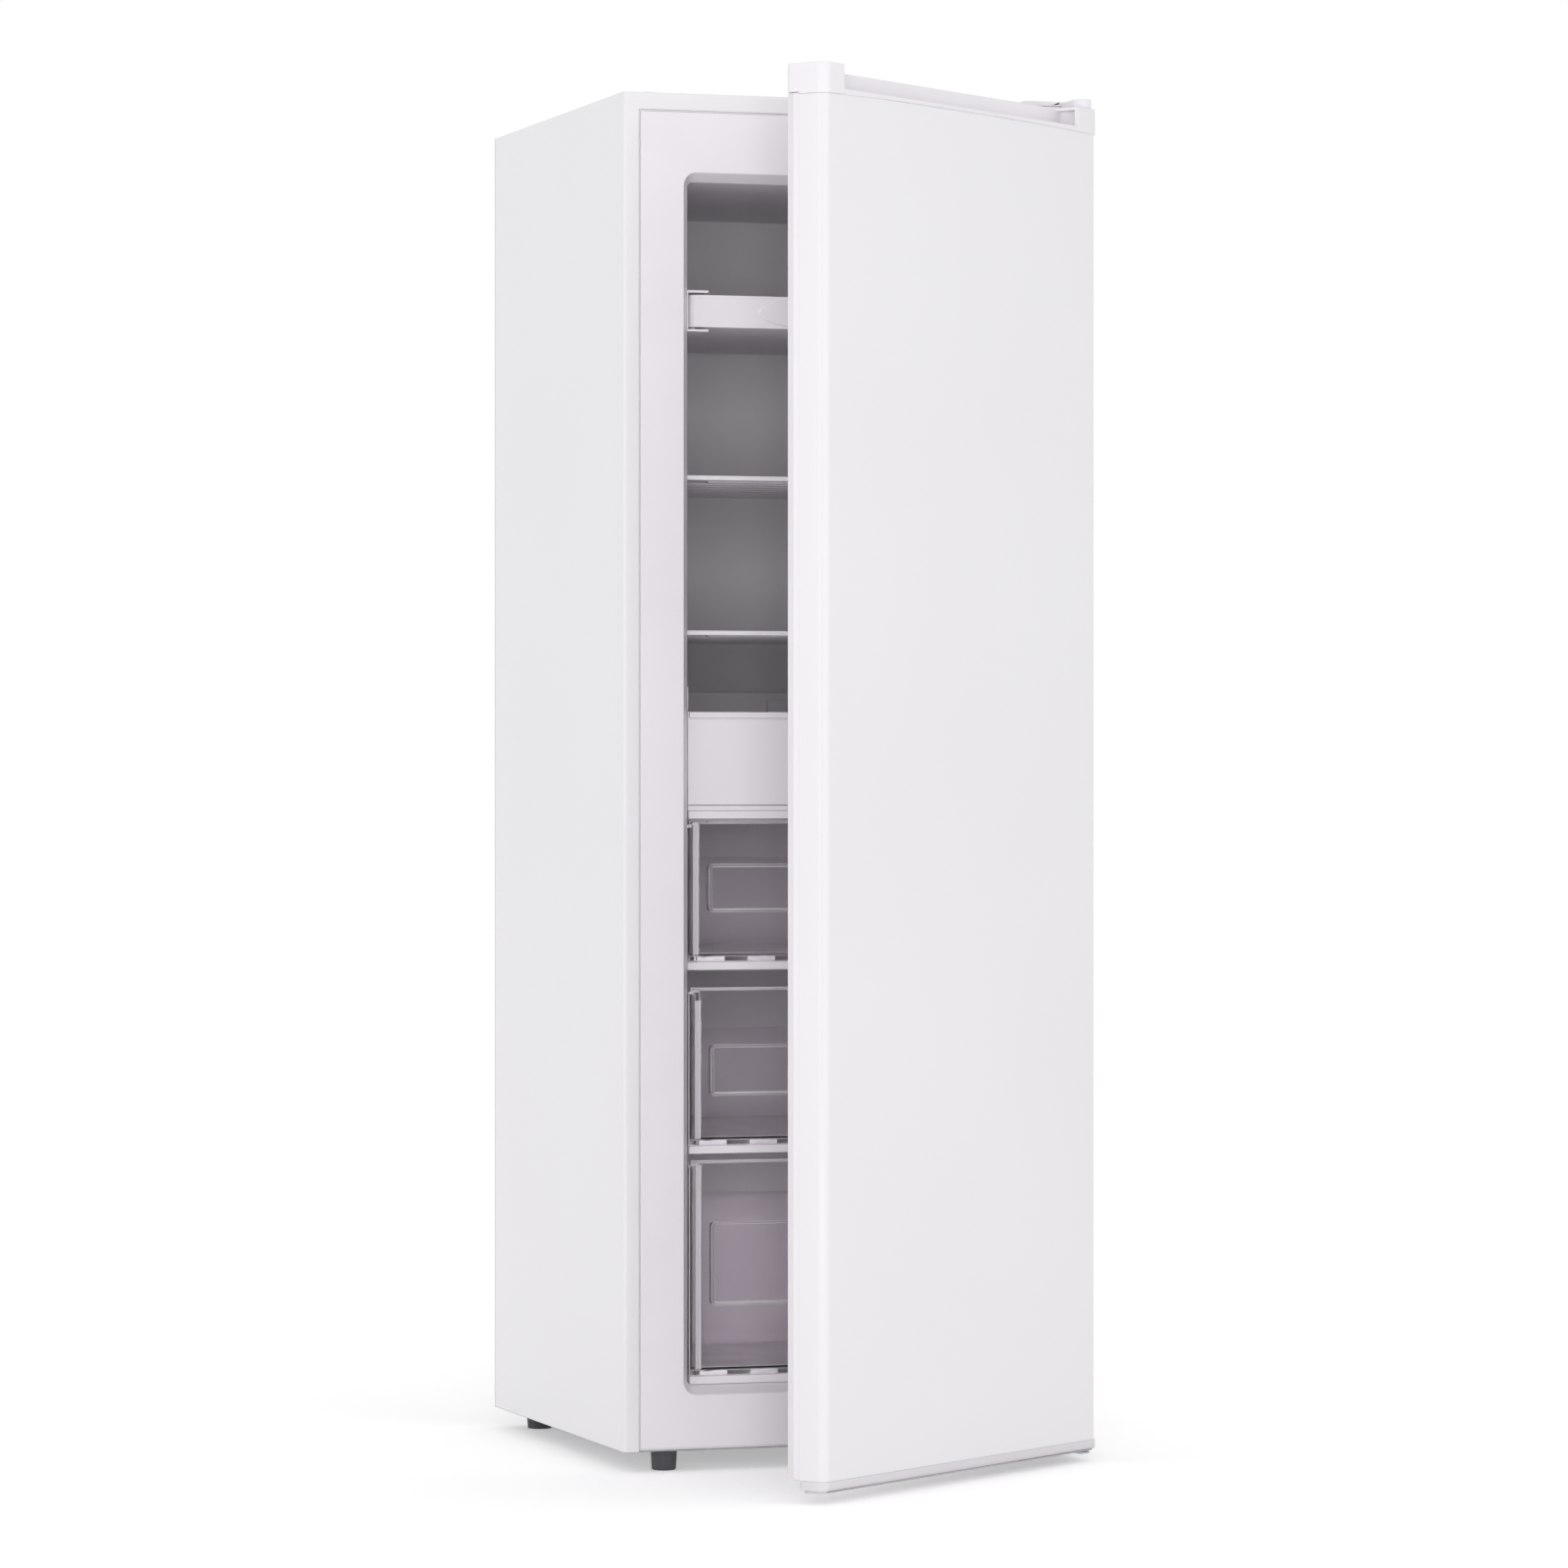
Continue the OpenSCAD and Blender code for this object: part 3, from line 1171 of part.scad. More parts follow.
module bin_front() color("white") at_front() difference() {
    union() {
        prism_z(-front_w / 2, front_w / 2, bin_front_y, bin_front_y + 6, bin_low, bin_top, 2);
        block(-front_w / 2 + 2, front_w / 2 - 2, bin_front_y - 1, bin_front_y + 4, bin_top - 6, bin_top);
    }
    block(-front_w / 2 + 3, front_w / 2 - 3, bin_front_y + wall_t, bin_front_y + 6 + cut, bin_low - cut,
        bin_top - 3);
    block(-front_w / 2 - cut, front_w / 2 + cut, bin_front_y - cut, bin_front_y + 0.6, bin_low + 5,
        bin_low + 6);
    block(-front_w / 2 - cut, front_w / 2 + cut, bin_front_y - cut, bin_front_y + 0.8, bin_top - 7.2,
        bin_top - 6);
}

module bin_tub() color("silver") at_front() {
    bin_tub_shell();
    block(channel_x0, channel_x1, drawer_rear - wall_t - 6, drawer_rear - wall_t / 2,
        bin_low + runner_rise + 1, bin_tub_top - 8);
}

channel_x0 = 32;
channel_x1 = 54;

module bin_tub_shell() difference() {
    union() {
        prism_z(-tub_w / 2, tub_w / 2, bin_front_y + wall_t + seat, drawer_rear, bin_low + runner_rise,
            bin_tub_top, 7);
        difference() {
            prism_z(-tub_w / 2 - 3, tub_w / 2 + 3, bin_front_y + 30, drawer_rear + 3, bin_tub_top - 7,
                bin_tub_top, 9);
            prism_z(-tub_w / 2 + 1, tub_w / 2 - 1, bin_front_y + 20, drawer_rear - 1, bin_tub_top - 5,
                bin_tub_top + cut, 7);
        }
    }
    prism_z(-tub_w / 2 + wall_t, tub_w / 2 - wall_t, bin_front_y + 2 * wall_t + seat, drawer_rear - wall_t,
        bin_low + runner_rise + wall_t, bin_tub_top + cut, 5);
    block(-front_w / 2, front_w / 2, bin_front_y, bin_front_y + 29, bin_top - 8, bin_tub_top + cut);
}

outer_wrapper();
back_panel();
base_plate();
compressor_plate();
cabinet_foam();
inner_liner();
tray_guides();
evaporator_shelf_1();
evaporator_shelf_2();
evaporator_shelf_3();
evaporator_shelf_4();
evaporator_shelf_5();
shelf_trim_1();
shelf_trim_2();
evaporator_riser();
condenser_tube();
suction_tube();
discharge_tube();
filter_dryer();
capillary_tube();
compressor();
compressor_grommets();
compressor_bolts();
terminal_cover();
cord_gland();
thermostat_box();
thermostat_knob();
drain_tube();
levelling_leg_left();
levelling_leg_right();
leg_nuts();
rear_feet();
top_hinge();
bottom_hinge();
hinge_screws();
hinge_cover();
spare_hole_plugs();
door_skin();
door_foam();
door_liner();
door_gasket();
gasket_magnets();
door_top_cap();
corner_cover();
door_bottom_cap();
hinge_bushes();
top_tray();
bin_tub();
bin_front();
bin_rail();
upper_drawer();
upper_drawer_rail();
middle_drawer();
middle_drawer_rail();
lower_drawer();
lower_drawer_rail();
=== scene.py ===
import bpy
import bmesh
import json
import math
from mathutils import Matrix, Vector
from mathutils.bvhtree import BVHTree


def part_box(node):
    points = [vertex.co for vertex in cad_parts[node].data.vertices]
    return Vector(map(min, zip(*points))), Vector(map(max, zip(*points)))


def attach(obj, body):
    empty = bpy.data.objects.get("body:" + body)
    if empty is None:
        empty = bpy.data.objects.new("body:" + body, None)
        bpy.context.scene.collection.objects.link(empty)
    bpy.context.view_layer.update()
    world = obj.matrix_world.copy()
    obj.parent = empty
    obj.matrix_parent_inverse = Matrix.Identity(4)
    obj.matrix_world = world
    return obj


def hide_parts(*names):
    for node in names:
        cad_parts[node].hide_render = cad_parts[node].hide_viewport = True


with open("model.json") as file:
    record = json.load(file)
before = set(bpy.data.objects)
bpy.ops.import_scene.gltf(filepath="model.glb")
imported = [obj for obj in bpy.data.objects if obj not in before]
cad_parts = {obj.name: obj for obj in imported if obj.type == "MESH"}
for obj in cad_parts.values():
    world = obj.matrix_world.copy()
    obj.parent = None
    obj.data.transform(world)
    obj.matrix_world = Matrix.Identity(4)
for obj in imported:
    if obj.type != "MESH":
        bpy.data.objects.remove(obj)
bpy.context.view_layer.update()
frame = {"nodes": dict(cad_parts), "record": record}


def colour(hexCode):
    # sRGB hex to linear
    parts = [int(hexCode[i:i + 2], 16) / 255 for i in (1, 3, 5)]
    return tuple(c / 12.92 if c <= 0.04045 else ((c + 0.055) / 1.055) ** 2.4 for c in parts) + (1.0,)


def addNode(tree, kind, settings=None, links=None):
    # settings go to the sockets of that name or number, else to the node itself
    node = tree.nodes.new(kind)
    for key, value in (settings or {}).items():
        if isinstance(key, int) or key in node.inputs:
            node.inputs[key].default_value = value
        else:
            setattr(node, key, value)
    for key, source in (links or {}).items():
        tree.links.new(source, node.inputs[key])
    return node


def newMaterial(name, finish):
    # a Principled surface with the finish's fixed values, and the place on the piece in metres
    material = bpy.data.materials.new(name)
    material.use_nodes = True
    tree = material.node_tree
    tree.nodes.clear()
    surface = addNode(tree, "ShaderNodeBsdfPrincipled", finish)
    addNode(tree, "ShaderNodeOutputMaterial", {}, {"Surface": surface.outputs["BSDF"]})
    place = addNode(tree, "ShaderNodeTexCoord").outputs["Object"]
    return material, tree, surface, place


def perMetre(millimetres):
    # a texture's scale for a pattern of this size
    return 1000 / millimetres


def dress(tree, surface, tint, gloss, relief):
    tree.links.new(tint.outputs[2], surface.inputs["Base Color"])
    tree.links.new(gloss.outputs["Result"], surface.inputs["Roughness"])
    tree.links.new(relief.outputs["Normal"], surface.inputs["Normal"])


# Pre-painted steel sheet: roller-coated enamel with a soft gloss, a faint orange peel, and the slow waves
# that the foam behind it leaves, which bend a reflection over the length of a hand
paintedSteelSettings = {
    "dark": "#e8e6e9", "light": "#ecebed",
    "peel": 4, "peelDepth": 0.012,  # millimetres; the real 1.5 mm is too fine to show
    "wave": 280, "waveDepth": 1.1,
    "smooth": 0.3, "rough": 0.38,  # roughness
}


def makePaintedSteel():
    values = paintedSteelSettings
    material, tree, surface, place = newMaterial("pre-painted steel, roller coated", {
        "IOR": 1.5, "Coat Weight": 1.0, "Coat Roughness": 0.1})
    waves = addNode(tree, "ShaderNodeTexNoise", {
        "Scale": perMetre(values["wave"]), "Detail": 1.0}, {"Vector": place})
    peel = addNode(tree, "ShaderNodeTexNoise", {
        "Scale": perMetre(values["peel"]), "Detail": 1.0}, {"Vector": place})
    tint = addNode(tree, "ShaderNodeMix", {
        "data_type": "RGBA", 6: colour(values["dark"]), 7: colour(values["light"])}, {
            0: waves.outputs["Fac"]})
    gloss = addNode(tree, "ShaderNodeMapRange", {"To Min": values["smooth"], "To Max": values["rough"]}, {
        "Value": peel.outputs["Fac"]})
    swell = addNode(tree, "ShaderNodeBump", {"Distance": values["waveDepth"] / 1000}, {
        "Height": waves.outputs["Fac"]})
    skin = addNode(tree, "ShaderNodeBump", {"Distance": values["peelDepth"] / 1000}, {
        "Height": peel.outputs["Fac"], "Normal": swell.outputs["Normal"]})
    dress(tree, surface, tint, gloss, skin)
    return material


# High-impact polystyrene, vacuum formed: a satin white that ripples where it was drawn
linerSettings = {
    "dark": "#e9e6ea", "light": "#efecf0",
    "ripple": 70, "rippleDepth": 0.5,
    "grain": 2.4, "grainDepth": 0.01,  # millimetres, coarser than the real sheet's grain
    "smooth": 0.33, "rough": 0.44,  # roughness
}


def makeLiner():
    values = linerSettings
    material, tree, surface, place = newMaterial("polystyrene sheet, vacuum formed", {"IOR": 1.59})
    ripple = addNode(tree, "ShaderNodeTexNoise", {
        "Scale": perMetre(values["ripple"]), "Detail": 1.0}, {"Vector": place})
    grain = addNode(tree, "ShaderNodeTexNoise", {"Scale": perMetre(values["grain"])}, {"Vector": place})
    tint = addNode(tree, "ShaderNodeMix", {
        "data_type": "RGBA", 6: colour(values["dark"]), 7: colour(values["light"])}, {
            0: ripple.outputs["Fac"]})
    gloss = addNode(tree, "ShaderNodeMapRange", {"To Min": values["smooth"], "To Max": values["rough"]}, {
        "Value": grain.outputs["Fac"]})
    swell = addNode(tree, "ShaderNodeBump", {"Distance": values["rippleDepth"] / 1000}, {
        "Height": ripple.outputs["Fac"]})
    skin = addNode(tree, "ShaderNodeBump", {"Distance": values["grainDepth"] / 1000}, {
        "Height": grain.outputs["Fac"], "Normal": swell.outputs["Normal"]})
    dress(tree, surface, tint, gloss, skin)
    return material


# ABS, injection moulded in a spark-eroded mould: a fine even grain that takes the edge off every highlight.
# The door's lower cap gets a copy a shade greyer: painted shade, for the shade on its rounded face.
mouldingSettings = {
    "dark": "#eae7eb", "light": "#f0edf1",
    # the lower cap's two tones, a shade greyer than the moulding: painted shade
    "lowCapDark": "#dad7db", "lowCapLight": "#e0dde1",
    "flow": 110,
    "spark": 2, "sparkDepth": 0.02,  # millimetres; the real 0.2 mm is too fine to show
    "smooth": 0.36, "rough": 0.5,  # roughness
}


def makeMoulding(name, dark, light):
    values = mouldingSettings
    material, tree, surface, place = newMaterial(name, {"IOR": 1.53})
    flow = addNode(tree, "ShaderNodeTexNoise", {"Scale": perMetre(values["flow"])}, {"Vector": place})
    spark = addNode(tree, "ShaderNodeTexNoise", {
        "Scale": perMetre(values["spark"]), "Detail": 3.0}, {"Vector": place})
    tint = addNode(tree, "ShaderNodeMix", {
        "data_type": "RGBA", 6: colour(dark), 7: colour(light)}, {
            0: flow.outputs["Fac"]})
    gloss = addNode(tree, "ShaderNodeMapRange", {"To Min": values["smooth"], "To Max": values["rough"]}, {
        "Value": spark.outputs["Fac"]})
    grain = addNode(tree, "ShaderNodeBump", {"Distance": values["sparkDepth"] / 1000}, {
        "Height": spark.outputs["Fac"]})
    dress(tree, surface, tint, gloss, grain)
    return material


# Polypropylene, moulded in dark grey: matt, and paler where it has been scuffed on the floor
darkMouldingSettings = {
    "dark": "#3a3a3e", "light": "#58585e", "scuff": 17, "spark": 1.5, "sparkDepth": 0.04,
    "smooth": 0.48, "rough": 0.66,  # roughness
}


def makeDarkMoulding():
    values = darkMouldingSettings
    material, tree, surface, place = newMaterial("dark polypropylene, moulded", {"IOR": 1.49})
    scuff = addNode(tree, "ShaderNodeTexNoise", {
        "Scale": perMetre(values["scuff"]), "Detail": 4.0}, {"Vector": place})
    spark = addNode(tree, "ShaderNodeTexNoise", {"Scale": perMetre(values["spark"])}, {"Vector": place})
    tint = addNode(tree, "ShaderNodeMix", {
        "data_type": "RGBA", 6: colour(values["dark"]), 7: colour(values["light"])}, {
            0: scuff.outputs["Fac"]})
    gloss = addNode(tree, "ShaderNodeMapRange", {"To Min": values["smooth"], "To Max": values["rough"]}, {
        "Value": scuff.outputs["Fac"]})
    grain = addNode(tree, "ShaderNodeBump", {"Distance": values["sparkDepth"] / 1000}, {
        "Height": spark.outputs["Fac"]})
    dress(tree, surface, tint, gloss, grain)
    return material


# Plasticised PVC, extruded: a soft off-white with a waxy bloom, duller than the parts that it seals
gasketSettings = {
    "dark": "#dcd8dc", "light": "#e4e0e4", "bloom": 45, "grain": 1.7, "grainDepth": 0.03,
    "smooth": 0.5, "rough": 0.66,  # roughness
}


def makeGasket():
    values = gasketSettings
    material, tree, surface, place = newMaterial("soft PVC, extruded", {"IOR": 1.53})
    bloom = addNode(tree, "ShaderNodeTexNoise", {
        "Scale": perMetre(values["bloom"]), "Detail": 3.0}, {"Vector": place})
    grain = addNode(tree, "ShaderNodeTexNoise", {"Scale": perMetre(values["grain"])}, {"Vector": place})
    tint = addNode(tree, "ShaderNodeMix", {
        "data_type": "RGBA", 6: colour(values["dark"]), 7: colour(values["light"])}, {
            0: bloom.outputs["Fac"]})
    gloss = addNode(tree, "ShaderNodeMapRange", {"To Min": values["smooth"], "To Max": values["rough"]}, {
        "Value": grain.outputs["Fac"]})
    skin = addNode(tree, "ShaderNodeBump", {"Distance": values["grainDepth"] / 1000}, {
        "Height": grain.outputs["Fac"]})
    dress(tree, surface, tint, gloss, skin)
    return material


# Polystyrene, moulded clear: hard and water-clear, with faint flow marks spreading from the gate. The edge
# is slightly frosted, and painted pale where clear plastic gathers light and lets it out: painted light.
clearPlasticSettings = {
    "body": "#f8f6f8", "shade": "#efecef", "flow": 55, "flowDepth": 0.4,
    # the edge's pale tint, and how much of it hides what lies behind: painted light
    "edge": "#f4f2f5", "edgeWhite": 0.8, "edgeGrain": 2.0, "edgeDepth": 0.05,
    "smooth": 0.02, "rough": 0.06, "edgeSmooth": 0.3, "edgeRough": 0.45,  # roughness
}


def makeClearPlastic():
    values = clearPlasticSettings
    material, tree, surface, place = newMaterial("clear polystyrene, moulded", {
        "Base Color": colour(values["body"]), "IOR": 1.59, "Transmission Weight": 1.0})
    flow = addNode(tree, "ShaderNodeTexNoise", {"Scale": perMetre(values["flow"])}, {"Vector": place})
    gloss = addNode(tree, "ShaderNodeMapRange", {"To Min": values["smooth"], "To Max": values["rough"]}, {
        "Value": flow.outputs["Fac"]})
    marks = addNode(tree, "ShaderNodeBump", {"Distance": values["flowDepth"] / 1000}, {
        "Height": flow.outputs["Fac"]})
    tree.links.new(gloss.outputs["Result"], surface.inputs["Roughness"])
    tree.links.new(marks.outputs["Normal"], surface.inputs["Normal"])
    # light passes straight through to what lies behind, so that a clear drawer throws a light shadow
    path = addNode(tree, "ShaderNodeLightPath")
    through = addNode(tree, "ShaderNodeBsdfTransparent", {"Color": colour(values["shade"])})
    both = addNode(tree, "ShaderNodeMixShader", {}, {
        0: path.outputs["Is Shadow Ray"], 1: surface.outputs["BSDF"], 2: through.outputs["BSDF"]})
    tree.links.new(both.outputs[0], tree.nodes["Material Output"].inputs["Surface"])
    return material


def makeClearEdge():
    values = clearPlasticSettings
    # pale and mostly opaque: painted light for the light that a clear edge gathers
    material, tree, surface, place = newMaterial("clear polystyrene, moulded edge", {
        "IOR": 1.59, "Transmission Weight": 1.0 - values["edgeWhite"]})
    grain = addNode(tree, "ShaderNodeTexNoise", {"Scale": perMetre(values["edgeGrain"])}, {"Vector": place})
    tint = addNode(tree, "ShaderNodeMix", {
        "data_type": "RGBA", 6: colour(values["body"]), 7: colour(values["edge"])}, {
            0: grain.outputs["Fac"]})
    gloss = addNode(tree, "ShaderNodeMapRange", {
        "To Min": values["edgeSmooth"], "To Max": values["edgeRough"]}, {"Value": grain.outputs["Fac"]})
    frost = addNode(tree, "ShaderNodeBump", {"Distance": values["edgeDepth"] / 1000}, {
        "Height": grain.outputs["Fac"]})
    dress(tree, surface, tint, gloss, frost)
    return material


# Roll-bonded aluminium with a white lacquer: a thin satin skin that keeps the fine lines of the rolling
rollBondSettings = {
    "dark": "#d9d6da", "light": "#e2dfe3", "line": 3.3, "run": 250, "lineDepth": 0.02,
    "smooth": 0.36, "rough": 0.5,  # roughness
}


def makeRollBond():
    values = rollBondSettings
    material, tree, surface, place = newMaterial("aluminium plate, lacquered", {"IOR": 1.5})
    across = perMetre(values["line"])
    along = addNode(tree, "ShaderNodeMapping", {
        "Scale": (across, perMetre(values["run"]), across)}, {"Vector": place})
    lines = addNode(tree, "ShaderNodeTexNoise", {"Scale": 1.0, "Detail": 3.0}, {
        "Vector": along.outputs["Vector"]})
    tint = addNode(tree, "ShaderNodeMix", {
        "data_type": "RGBA", 6: colour(values["dark"]), 7: colour(values["light"])}, {
            0: lines.outputs["Fac"]})
    gloss = addNode(tree, "ShaderNodeMapRange", {"To Min": values["smooth"], "To Max": values["rough"]}, {
        "Value": lines.outputs["Fac"]})
    grooves = addNode(tree, "ShaderNodeBump", {"Distance": values["lineDepth"] / 1000}, {
        "Height": lines.outputs["Fac"]})
    dress(tree, surface, tint, gloss, grooves)
    return material


# Hot-dip galvanised sheet: zinc crystals about a centimetre across, each with its own grey and gloss
galvanisedSettings = {
    "dark": "#a7a7a9", "light": "#c8c8ca",
    "crystal": 10.5, "crystalDepth": 0.1, "wobble": 11, "wobbleReach": 6,
    "smooth": 0.3, "rough": 0.5,  # roughness
}


def makeGalvanised():
    values = galvanisedSettings
    material, tree, surface, place = newMaterial("galvanised steel, hot dipped", {"Metallic": 1.0})
    wobble = addNode(tree, "ShaderNodeTexNoise", {"Scale": perMetre(values["wobble"])}, {"Vector": place})
    shift = addNode(tree, "ShaderNodeVectorMath", {
        "operation": "SCALE", "Scale": values["wobbleReach"] / 1000}, {0: wobble.outputs["Color"]})
    bent = addNode(tree, "ShaderNodeVectorMath", {"operation": "ADD"}, {0: place, 1: shift.outputs["Vector"]})
    crystals = addNode(tree, "ShaderNodeTexVoronoi", {"Scale": perMetre(values["crystal"])}, {
        "Vector": bent.outputs["Vector"]})
    grey = addNode(tree, "ShaderNodeRGBToBW", {}, {"Color": crystals.outputs["Color"]})
    tint = addNode(tree, "ShaderNodeMix", {
        "data_type": "RGBA", 6: colour(values["dark"]), 7: colour(values["light"])}, {
            0: grey.outputs["Val"]})
    gloss = addNode(tree, "ShaderNodeMapRange", {"To Min": values["smooth"], "To Max": values["rough"]}, {
        "Value": grey.outputs["Val"]})
    facets = addNode(tree, "ShaderNodeBump", {"Distance": values["crystalDepth"] / 1000}, {
        "Height": crystals.outputs["Distance"]})
    dress(tree, surface, tint, gloss, facets)
    return material


# Electroplated zinc, clear passivated: bright, slightly blue, dulled by handling
zincSettings = {
    "dark": "#b6bcc2", "light": "#cdd2d6", "cloud": 8, "cloudDepth": 0.03,
    "smooth": 0.22, "rough": 0.42,  # roughness
}


def makeZinc():
    values = zincSettings
    material, tree, surface, place = newMaterial("steel, zinc plated", {"Metallic": 1.0})
    cloud = addNode(tree, "ShaderNodeTexNoise", {
        "Scale": perMetre(values["cloud"]), "Detail": 4.0}, {"Vector": place})
    tint = addNode(tree, "ShaderNodeMix", {
        "data_type": "RGBA", 6: colour(values["dark"]), 7: colour(values["light"])}, {
            0: cloud.outputs["Fac"]})
    gloss = addNode(tree, "ShaderNodeMapRange", {"To Min": values["smooth"], "To Max": values["rough"]}, {
        "Value": cloud.outputs["Fac"]})
    marks = addNode(tree, "ShaderNodeBump", {"Distance": values["cloudDepth"] / 1000}, {
        "Height": cloud.outputs["Fac"]})
    dress(tree, surface, tint, gloss, marks)
    return material


# Copper-plated steel tube, drawn: warm, dulled brown in patches by handling and brazing
copperTubeSettings = {
    "dark": "#9a5d3f", "light": "#d08e66", "tarnish": 22, "tarnishDepth": 0.03,
    "smooth": 0.24, "rough": 0.46,  # roughness
}


def makeCopperTube():
    values = copperTubeSettings
    material, tree, surface, place = newMaterial("steel tube, copper plated", {"Metallic": 1.0})
    tarnish = addNode(tree, "ShaderNodeTexNoise", {
        "Scale": perMetre(values["tarnish"]), "Detail": 5.0}, {"Vector": place})
    tint = addNode(tree, "ShaderNodeMix", {
        "data_type": "RGBA", 6: colour(values["dark"]), 7: colour(values["light"])}, {
            0: tarnish.outputs["Fac"]})
    gloss = addNode(tree, "ShaderNodeMapRange", {"To Min": values["smooth"], "To Max": values["rough"]}, {
        "Value": tarnish.outputs["Fac"]})
    marks = addNode(tree, "ShaderNodeBump", {"Distance": values["tarnishDepth"] / 1000}, {
        "Height": tarnish.outputs["Fac"]})
    dress(tree, surface, tint, gloss, marks)
    return material


# Black stoving enamel on the compressor's pressing: glossy, with a heavy orange peel and a film of dust
blackPaintSettings = {
    "dark": "#101012", "light": "#202023", "peel": 3.1, "peelDepth": 0.06, "dust": 40,
    "smooth": 0.2, "rough": 0.4,  # roughness
}


def makeBlackPaint():
    values = blackPaintSettings
    material, tree, surface, place = newMaterial("black enamel, stoved", {
        "IOR": 1.5, "Coat Weight": 0.4, "Coat Roughness": 0.1})
    peel = addNode(tree, "ShaderNodeTexNoise", {"Scale": perMetre(values["peel"])}, {"Vector": place})
    dust = addNode(tree, "ShaderNodeTexNoise", {
        "Scale": perMetre(values["dust"]), "Detail": 5.0}, {"Vector": place})
    tint = addNode(tree, "ShaderNodeMix", {
        "data_type": "RGBA", 6: colour(values["dark"]), 7: colour(values["light"])}, {
            0: dust.outputs["Fac"]})
    gloss = addNode(tree, "ShaderNodeMapRange", {"To Min": values["smooth"], "To Max": values["rough"]}, {
        "Value": dust.outputs["Fac"]})
    skin = addNode(tree, "ShaderNodeBump", {"Distance": values["peelDepth"] / 1000}, {
        "Height": peel.outputs["Fac"]})
    dress(tree, surface, tint, gloss, skin)
    return material


# Nitrile rubber, compression moulded: matt and dusty
rubberSettings = {
    "dark": "#1d1d1f", "light": "#333336", "dust": 12, "dustDepth": 0.1,
    "smooth": 0.66, "rough": 0.85,  # roughness
}


def makeRubber():
    values = rubberSettings
    material, tree, surface, place = newMaterial("rubber, moulded", {"IOR": 1.52})
    dust = addNode(tree, "ShaderNodeTexNoise", {
        "Scale": perMetre(values["dust"]), "Detail": 5.0}, {"Vector": place})
    tint = addNode(tree, "ShaderNodeMix", {
        "data_type": "RGBA", 6: colour(values["dark"]), 7: colour(values["light"])}, {
            0: dust.outputs["Fac"]})
    gloss = addNode(tree, "ShaderNodeMapRange", {"To Min": values["smooth"], "To Max": values["rough"]}, {
        "Value": dust.outputs["Fac"]})
    skin = addNode(tree, "ShaderNodeBump", {"Distance": values["dustDepth"] / 1000}, {
        "Height": dust.outputs["Fac"]})
    dress(tree, surface, tint, gloss, skin)
    return material


# Rigid polyurethane foam, poured and risen in place: pale yellow, with open bubbles where it was trimmed
foamSettings = {
    "dark": "#e0cf9c", "light": "#efe3ba", "cloud": 65, "bubble": 2, "bubbleDepth": 0.5,
    "smooth": 0.82, "rough": 0.95,  # roughness
}


def makeFoam():
    values = foamSettings
    material, tree, surface, place = newMaterial("polyurethane foam, foamed in place", {"IOR": 1.4})
    cloud = addNode(tree, "ShaderNodeTexNoise", {
        "Scale": perMetre(values["cloud"]), "Detail": 4.0}, {"Vector": place})
    bubbles = addNode(tree, "ShaderNodeTexVoronoi", {"Scale": perMetre(values["bubble"])}, {"Vector": place})
    tint = addNode(tree, "ShaderNodeMix", {
        "data_type": "RGBA", 6: colour(values["dark"]), 7: colour(values["light"])}, {
            0: cloud.outputs["Fac"]})
    gloss = addNode(tree, "ShaderNodeMapRange", {"To Min": values["smooth"], "To Max": values["rough"]}, {
        "Value": cloud.outputs["Fac"]})
    pores = addNode(tree, "ShaderNodeBump", {"Distance": values["bubbleDepth"] / 1000}, {
        "Height": bubbles.outputs["Distance"]})
    dress(tree, surface, tint, gloss, pores)
    return material


slotMaterials = {
    "white_steel": makePaintedSteel(),
    "galvanised_steel": makeGalvanised(),
    "foam": makeFoam(),
    "white_liner": makeLiner(),
    "white_moulding": makeMoulding("white ABS, moulded", mouldingSettings["dark"], mouldingSettings["light"]),
    "roll_bond": makeRollBond(),
    "copper_steel": makeCopperTube(),
    "black_paint": makeBlackPaint(),
    "rubber": makeRubber(),
    "zinc": makeZinc(),
    "dark_moulding": makeDarkMoulding(),
    "white_gasket": makeGasket(),
    "clear_plastic": makeClearPlastic(),
}
# the frosted finish of drawer edges, ridges and uprights, painted pale: painted light
clearEdge = makeClearEdge()
# a greyer copy of the white moulding for the door's lower cap: painted shade
lowCapShadedMoulding = makeMoulding(
    "white ABS, moulded, greyer batch", mouldingSettings["lowCapDark"], mouldingSettings["lowCapLight"])
print("materials made:", len(slotMaterials) + 2)

nodeSlots = {part["node"]: part["material_slot"] for part in frame["record"]["subparts"]}
for nodeName, node in frame["nodes"].items():
    node.data.materials.clear()
    node.data.materials.append(slotMaterials[nodeSlots[nodeName]])
print("materials on CAD nodes:", len(nodeSlots))

# Edges softened as paint, moulds and folds leave them

